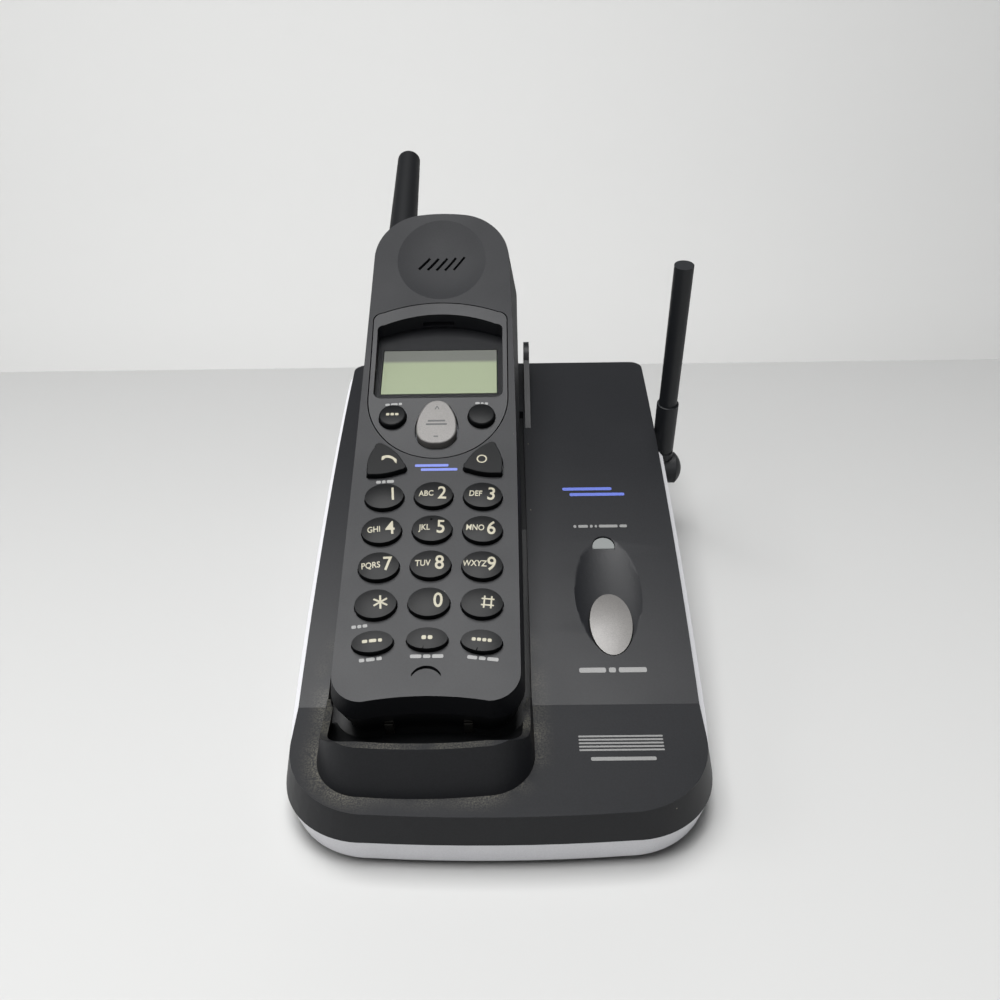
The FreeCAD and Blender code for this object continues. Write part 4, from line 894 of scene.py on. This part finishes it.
@dataclass
class Handset:
    """The handset: cases, display, keys, and the ink on them."""

    round_mm: float = 0.9
    body: str = "handset"
    keys: dict[str, bpy.types.Object] = field(default_factory=dict)

    def face(self) -> Plane:
        """Find the plane of the flat part of the face, with the 0 key as its middle.

        Returns:
            The plane.
        """
        lift = next(joint for joint in frame["joints"] if joint["name"] == "handset_lift")
        out = Vector(lift["axis"]).normalized()
        across = Vector((1, 0, 0))
        along = out.cross(across)
        low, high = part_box("key_0")
        middle = (low + high) / 2
        return Plane(middle, across, along, out)

    def build(self) -> None:
        """Make every piece of the handset."""
        along = self.face().along
        low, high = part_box("display_panel")
        ear_low, ear_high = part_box("earpiece_speaker")
        ear = (ear_low + ear_high) / 2
        dulling = (along, low.dot(along), ear.dot(along))
        case = CASE_ABS.build(dulling=dulling)
        self.front = refined("handset_front_case", case, self.round_mm, self.body, 3, 38.0,
                             Creases(dish=ear))
        refined("handset_rear_case", case, 0.6, self.body, 2, 38.0)
        refined("battery_cover", case, 0.4, "battery_cover", 2)
        refined("handset_antenna", STUB_RUBBER.build(), 0.3, self.body, 2)
        panel = PANEL_ABS.build(dulling=dulling)
        self.panel = refined("display_panel", panel, 0.35, self.body, 2, 38.0)
        refined("display_window", WINDOW.build(), 0.0, self.body)
        reach = [vert.co.dot(along) for vert in frame["nodes"]["display_module"].data.vertices]
        dress(["display_module"], LCD.build(along, min(reach), max(reach)))
        dress(["handset_circuit_board"], BOARD.build())
        dress(["keypad_mat"], SILICONE.build())
        dress(["earpiece_speaker", "microphone", "handset_ringer"], COMPONENT.build())
        dress(["battery_pack"], SHRINK_WRAP.build())
        dress(["battery_contacts", "handset_charge_contacts"], CONTACT.build())
        dress(["handset_screws"], STEEL.build())
        self.build_keys()
        self.print_keys()
        self.print_face()

    def build_keys(self) -> None:
        """Finish each key from its solid."""
        top = KEY_TOP.build()
        silver = SILVER.build()
        for joint in frame["joints"]:
            name = joint["child"]
            if joint["parent"] != self.body or name == "battery_cover":
                continue
            silvered = name == "navigator_key"
            self.keys[name] = refined(name, silver if silvered else top, 0.45, name,
                                      3,
                                      creases=CROWNED)

    def key_plane(self, name: str, turn: float = 0.0) -> Plane:
        """Find the plane over one key's middle.

        Args:
            name: The key's name.
            turn: How far its marks are turned, in degrees.

        Returns:
            The plane.
        """
        low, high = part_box(name)
        face = self.face()
        return Plane((low + high) / 2, face.across, face.along, face.out).turned(turn)

    def mark(self, key: str, part: str, flat: bmesh.types.BMesh, x_mm: float, y_mm: float,
             turn: float, ink: bpy.types.Material) -> None:
        """Print one mark on a key.

        Args:
            key: The key's name.
            part: What the mark is called.
            flat: Its shape.
            x_mm: Its place across the key.
            y_mm: Its place along the key.
            turn: The key's own turn, in degrees.
            ink: Its ink.
        """
        plane = self.key_plane(key, turn).moved(x_mm, y_mm)
        printed(f"{key}_{part}", flat, plane, surface_of(self.keys[key]), ink, key)

    def print_keys(self) -> None:
        """Print digits and dial letters, and plain signs on the other keys."""
        ink = KEY_INK.build()
        dark = DARK_INK.build()
        dial = {
            "key_1": ("1", "", 5), "key_2": ("2", "ABC", 0), "key_3": ("3", "DEF", -5),
            "key_4": ("4", "GHI", 5), "key_5": ("5", "JKL", 0), "key_6": ("6", "MNO", -5),
            "key_7": ("7", "PQRS", 5), "key_8": ("8", "TUV", 0), "key_9": ("9", "WXYZ", -5),
            "key_0": ("0", "", 0),
        }
        for key, (digit, group, turn) in dial.items():
            self.mark(key, "digit", letters(digit, 7.3, 0.84), 2.9, 0.2, turn, ink)
            if group:
                self.mark(key, "letters", letters(group, 3.2, 0.8), -2.4, 0.1, turn, ink)
        self.mark("key_star", "sign", self.star(), 1.6, 0.2, 5, ink)
        self.mark("key_hash", "sign", self.hash_sign(), 1.8, 0.1, -5, ink)
        self.mark("function_key_left", "sign", word_bars([1.6, 2.2, 1.2], 1.1, 0.5), 0, 0.1, 6, ink)
        self.mark("function_key_middle", "sign", word_bars([1.4, 1.4], 1.3, 0.5), 0, 0.1, 0, ink)
        self.mark("function_key_right", "sign", word_bars([1.2, 1.2, 1.2, 1.2], 1.1, 0.4), 0, 0.1, -6, ink)
        self.mark("talk_key", "sign", self.receiver(), 0.8, -0.6, 0, ink)
        self.mark("off_key", "sign", self.ring(1.55, 0.45), -0.4, -0.8, 0, ink)
        self.mark("redial_key", "sign", word_bars([1.2, 1.2, 1.2], 1.1, 0.4), 0, 0, 0, ink)
        self.mark("navigator_key", "up", self.chevron(1.0), 0, 6.4, 0, dark)
        self.mark("navigator_key", "bars", bars([(0, 0.6, 6.2, 0.7), (0, -1.0, 7.4, 0.7)]), 0, -0.4, 0, dark)
        self.mark("navigator_key", "down", bars([(0, 0, 1.6, 0.5)]), 0, -7.0, 0, dark)
        nub = bmesh.new()
        bmesh.ops.create_uvsphere(nub, u_segments=16, v_segments=8, radius=0.42)
        bmesh.ops.bisect_plane(nub, geom=nub.verts[:] + nub.edges[:] + nub.faces[:], plane_co=(0, 0, -0.1),
                               plane_no=(0, 0, -1), clear_outer=True)
        bmesh.ops.holes_fill(nub, edges=nub.edges[:])
        plane = self.key_plane("key_5").moved(-0.3, 3.6)
        under = surface_of(self.keys["key_5"])
        printed("key_5_nub", nub, plane, under, KEY_TOP.build(), "key_5")

    def star(self) -> bmesh.types.BMesh:
        """A six-armed star made of three bars.

        Returns:
            The mesh, in millimetres.
        """
        bm = bmesh.new()
        for turn in (0, 60, 120):
            made = bmesh.ops.create_cube(bm, size=1.0)["verts"]
            bmesh.ops.scale(bm, vec=(0.6, 4.8, INK_MM), verts=made)
            bmesh.ops.rotate(bm, matrix=Matrix.Rotation(math.radians(turn), 3, "Z"), verts=made)
        return bm

    def hash_sign(self) -> bmesh.types.BMesh:
        """An open square whose four sides run past its corners."""
        return bars([(0, -1.1, 4.0, 0.5), (0, 1.1, 4.0, 0.5), (-1.1, 0, 0.5, 4.4), (1.1, 0, 0.5, 4.4)])

    def receiver(self) -> bmesh.types.BMesh:
        """A lifted receiver: a bowed bar with two square ends.

        Returns:
            The mesh, in millimetres.
        """
        bm = bmesh.new()
        steps = 8
        made = bmesh.ops.create_grid(bm, x_segments=steps, y_segments=1, size=0.5)["verts"]
        bmesh.ops.scale(bm, vec=(5.2, 1.1, 1), verts=made)
        for vert in bm.verts:
            arch = 1 - (vert.co.x / 2.6) ** 2
            end = 0.55 if abs(vert.co.x) > 1.7 and vert.co.y < 0 else 0.0
            vert.co.y += arch * 1.2 - end - vert.co.x * 0.28
        faces = bmesh.ops.extrude_face_region(bm, geom=bm.faces[:])["geom"]
        lifted = [item for item in faces if isinstance(item, bmesh.types.BMVert)]
        bmesh.ops.translate(bm, vec=(0, 0, INK_MM), verts=lifted)
        bmesh.ops.recalc_face_normals(bm, faces=bm.faces[:])
        return bm

    def ring(self, radius: float, width: float) -> bmesh.types.BMesh:
        """A flat ring, spun from one small rectangle.

        Args:
            radius: Its middle radius, in millimetres.
            width: Its width.

        Returns:
            The mesh, in millimetres.
        """
        bm = bmesh.new()
        made = bmesh.ops.create_grid(bm, x_segments=1, y_segments=1, size=0.5)["verts"]
        bmesh.ops.scale(bm, vec=(width, INK_MM, 1), verts=made)
        bmesh.ops.rotate(bm, matrix=Matrix.Rotation(math.radians(90), 3, "X"), verts=made)
        bmesh.ops.translate(bm, vec=(radius, 0, 0), verts=made)
        section = bm.faces[:]
        bmesh.ops.spin(bm, geom=bm.edges[:], cent=(0, 0, 0), axis=(0, 0, 1), angle=math.tau, steps=28,
                       use_merge=True)
        bmesh.ops.delete(bm, geom=section, context="FACES_ONLY")
        bmesh.ops.remove_doubles(bm, verts=bm.verts, dist=1e-4)
        bmesh.ops.recalc_face_normals(bm, faces=bm.faces[:])
        return bm

    def chevron(self, reach: float) -> bmesh.types.BMesh:
        """An open arrow head of two bars.

        Args:
            reach: Its half width, in millimetres.

        Returns:
            The mesh, in millimetres.
        """
        bm = bmesh.new()
        for side in (-1, 1):
            made = bmesh.ops.create_cube(bm, size=1.0)["verts"]
            bmesh.ops.scale(bm, vec=(0.32, reach * 1.7, INK_MM), verts=made)
            bmesh.ops.rotate(bm, matrix=Matrix.Rotation(math.radians(24 * side), 3, "Z"), verts=made)
            bmesh.ops.translate(bm, vec=(reach * 0.35 * side, 0, 0), verts=made)
        return bm

    def print_face(self) -> None:
        """Print plain bars beside the keys, where such a handset has words."""
        label = LABEL_INK.build()
        blue = BLUE_INK.build()
        surface = surface_of(self.front, self.panel)
        face = self.face()

        def ink(name: str, flat: bmesh.types.BMesh, x_mm: float, y_mm: float, turn: float,
                material: bpy.types.Material) -> None:
            """Print one shape on the face."""
            plane = face.moved(x_mm, y_mm).turned(turn)
            printed(name, flat, plane, surface, material, self.body)

        ink("label_under_left_key", word_bars([1.6, 2.6, 1.6], 1.2, 0.5), -16.8, -18.9, 7, label)
        ink("label_under_middle_key", word_bars([3.4, 2.2, 3.4], 1.2, 0.5), 0.0, -18.0, 0, label)
        ink("label_under_right_key", word_bars([3.0, 2.0, 3.4], 1.2, 0.5), 16.8, -18.9, -7, label)
        ink("label_under_star", word_bars([1.4, 1.2, 1.4], 1.1, 0.4), -21.0, -7.6, 7, label)
        ink("label_over_one", word_bars([1.6, 1.2, 2.4], 1.2, 0.4), -16.8, 48.6, 4, label)
        ink("label_over_redial", word_bars([1.6, 2.4, 1.2], 1.0, 0.4), -15.8, 83.2, 4, label)
        ink("label_over_edit", word_bars([1.6, 1.0, 1.2], 1.0, 0.4), 15.8, 83.2, -4, label)
        ink("face_blue_stripe", bars([(-1.2, 0.9, 11.5, 1.1), (1.4, -0.9, 12.5, 1.1)]), 0.0, 54.6, 0, blue)


@dataclass
class Studio:
    """Floor, lights and camera."""

    eye_mm: tuple[float, float, float] = (3.6, -285.85, 244.71)
    pitch_deg: float = 33.69
    yaw_deg: float = -0.54
    roll_deg: float = -0.98
    foot_mm: float = 1.5
    table_back: float = 0.218
    table_height: float = 0.25
    wall_y: float = 0.6
    wall_top: float = 0.2

    def build(self) -> None:
        """Lay the table and the wall behind it, hang the lights and set the camera."""
        bm = bmesh.new()
        low = -self.foot_mm * MM
        ground = low - self.table_height
        rows = [(-3.0, low), (self.table_back, low), (self.table_back, ground), (self.wall_y, ground),
                (self.wall_y, self.wall_top)]
        rails = [[bm.verts.new((side, y, z)) for side in (-3.0, 3.0)] for y, z in rows]
        for near, far in zip(rails, rails[1:]):
            bm.faces.new((near[0], near[1], far[1], far[0]))
        piece_from(bm, "paper_sweep", FLOOR.build())
        self.light("overhead_softbox", (-0.12, 0.0, 1.05), (-0.02, 0, 0), 0.6, 17.0)
        self.light("left_softbox", (-1.0, -0.25, 0.6), (-0.35, -0.1, 0), 0.6, 4.0)
        self.light("front_fill", (0.1, -1.4, 1.0), (0, 0.25, 0.1), 0.9, 7.0)
        world = bpy.data.worlds.new("studio_room")
        world.use_nodes = True
        world.node_tree.nodes["Background"].inputs["Color"].default_value = linear("#eef0f2")
        world.node_tree.nodes["Background"].inputs["Strength"].default_value = 0.25
        bpy.context.scene.world = world
        self.camera()

    def light(self, name: str, place: Sequence[float], aim: Sequence[float], size: float,
              watts: float) -> None:
        """Hang one soft light.

        Args:
            name: The light's name.
            place: Where it hangs, in metres.
            aim: What it points at.
            size: Its width.
            watts: Its power.
        """
        data = bpy.data.lights.new(name, "AREA")
        data.shape = "SQUARE"
        data.size = size
        data.energy = watts
        lamp = bpy.data.objects.new(name, data)
        lamp.location = place
        lamp.rotation_euler = (Vector(aim) - Vector(place)).to_track_quat("-Z", "Y").to_euler()
        bpy.context.scene.collection.objects.link(lamp)

    def camera(self) -> None:
        """Set the camera at the viewing angle."""
        pitch = math.radians(self.pitch_deg)
        yaw = math.radians(self.yaw_deg)
        roll = math.radians(self.roll_deg)
        level = Vector((math.sin(yaw), math.cos(yaw), 0))
        ahead = level * math.cos(pitch) - Vector((0, 0, math.sin(pitch)))
        right = Vector((math.cos(yaw), -math.sin(yaw), 0))
        up = right.cross(ahead)
        side = right * math.cos(roll) + up * math.sin(roll)
        top = up * math.cos(roll) - right * math.sin(roll)
        data = bpy.data.cameras.new("camera")
        data.sensor_width = 36
        data.lens = 36
        data.clip_start = 0.01
        eye = bpy.data.objects.new("camera", data)
        turn = Matrix((side, top, -ahead)).transposed().to_4x4()
        eye.matrix_world = Matrix.Translation(Vector(self.eye_mm) * MM) @ turn
        bpy.context.scene.collection.objects.link(eye)
        bpy.context.scene.camera = eye


def main() -> None:
    """Build the phone and its studio."""
    for part in (DeskBase(), LocatorControls(), BaseAntenna(), Handset(), Studio()):
        part.build()
        log.info("%s built", type(part).__name__)
    bpy.context.scene.view_settings.view_transform = "Standard"


if __name__ == "__main__":
    main()
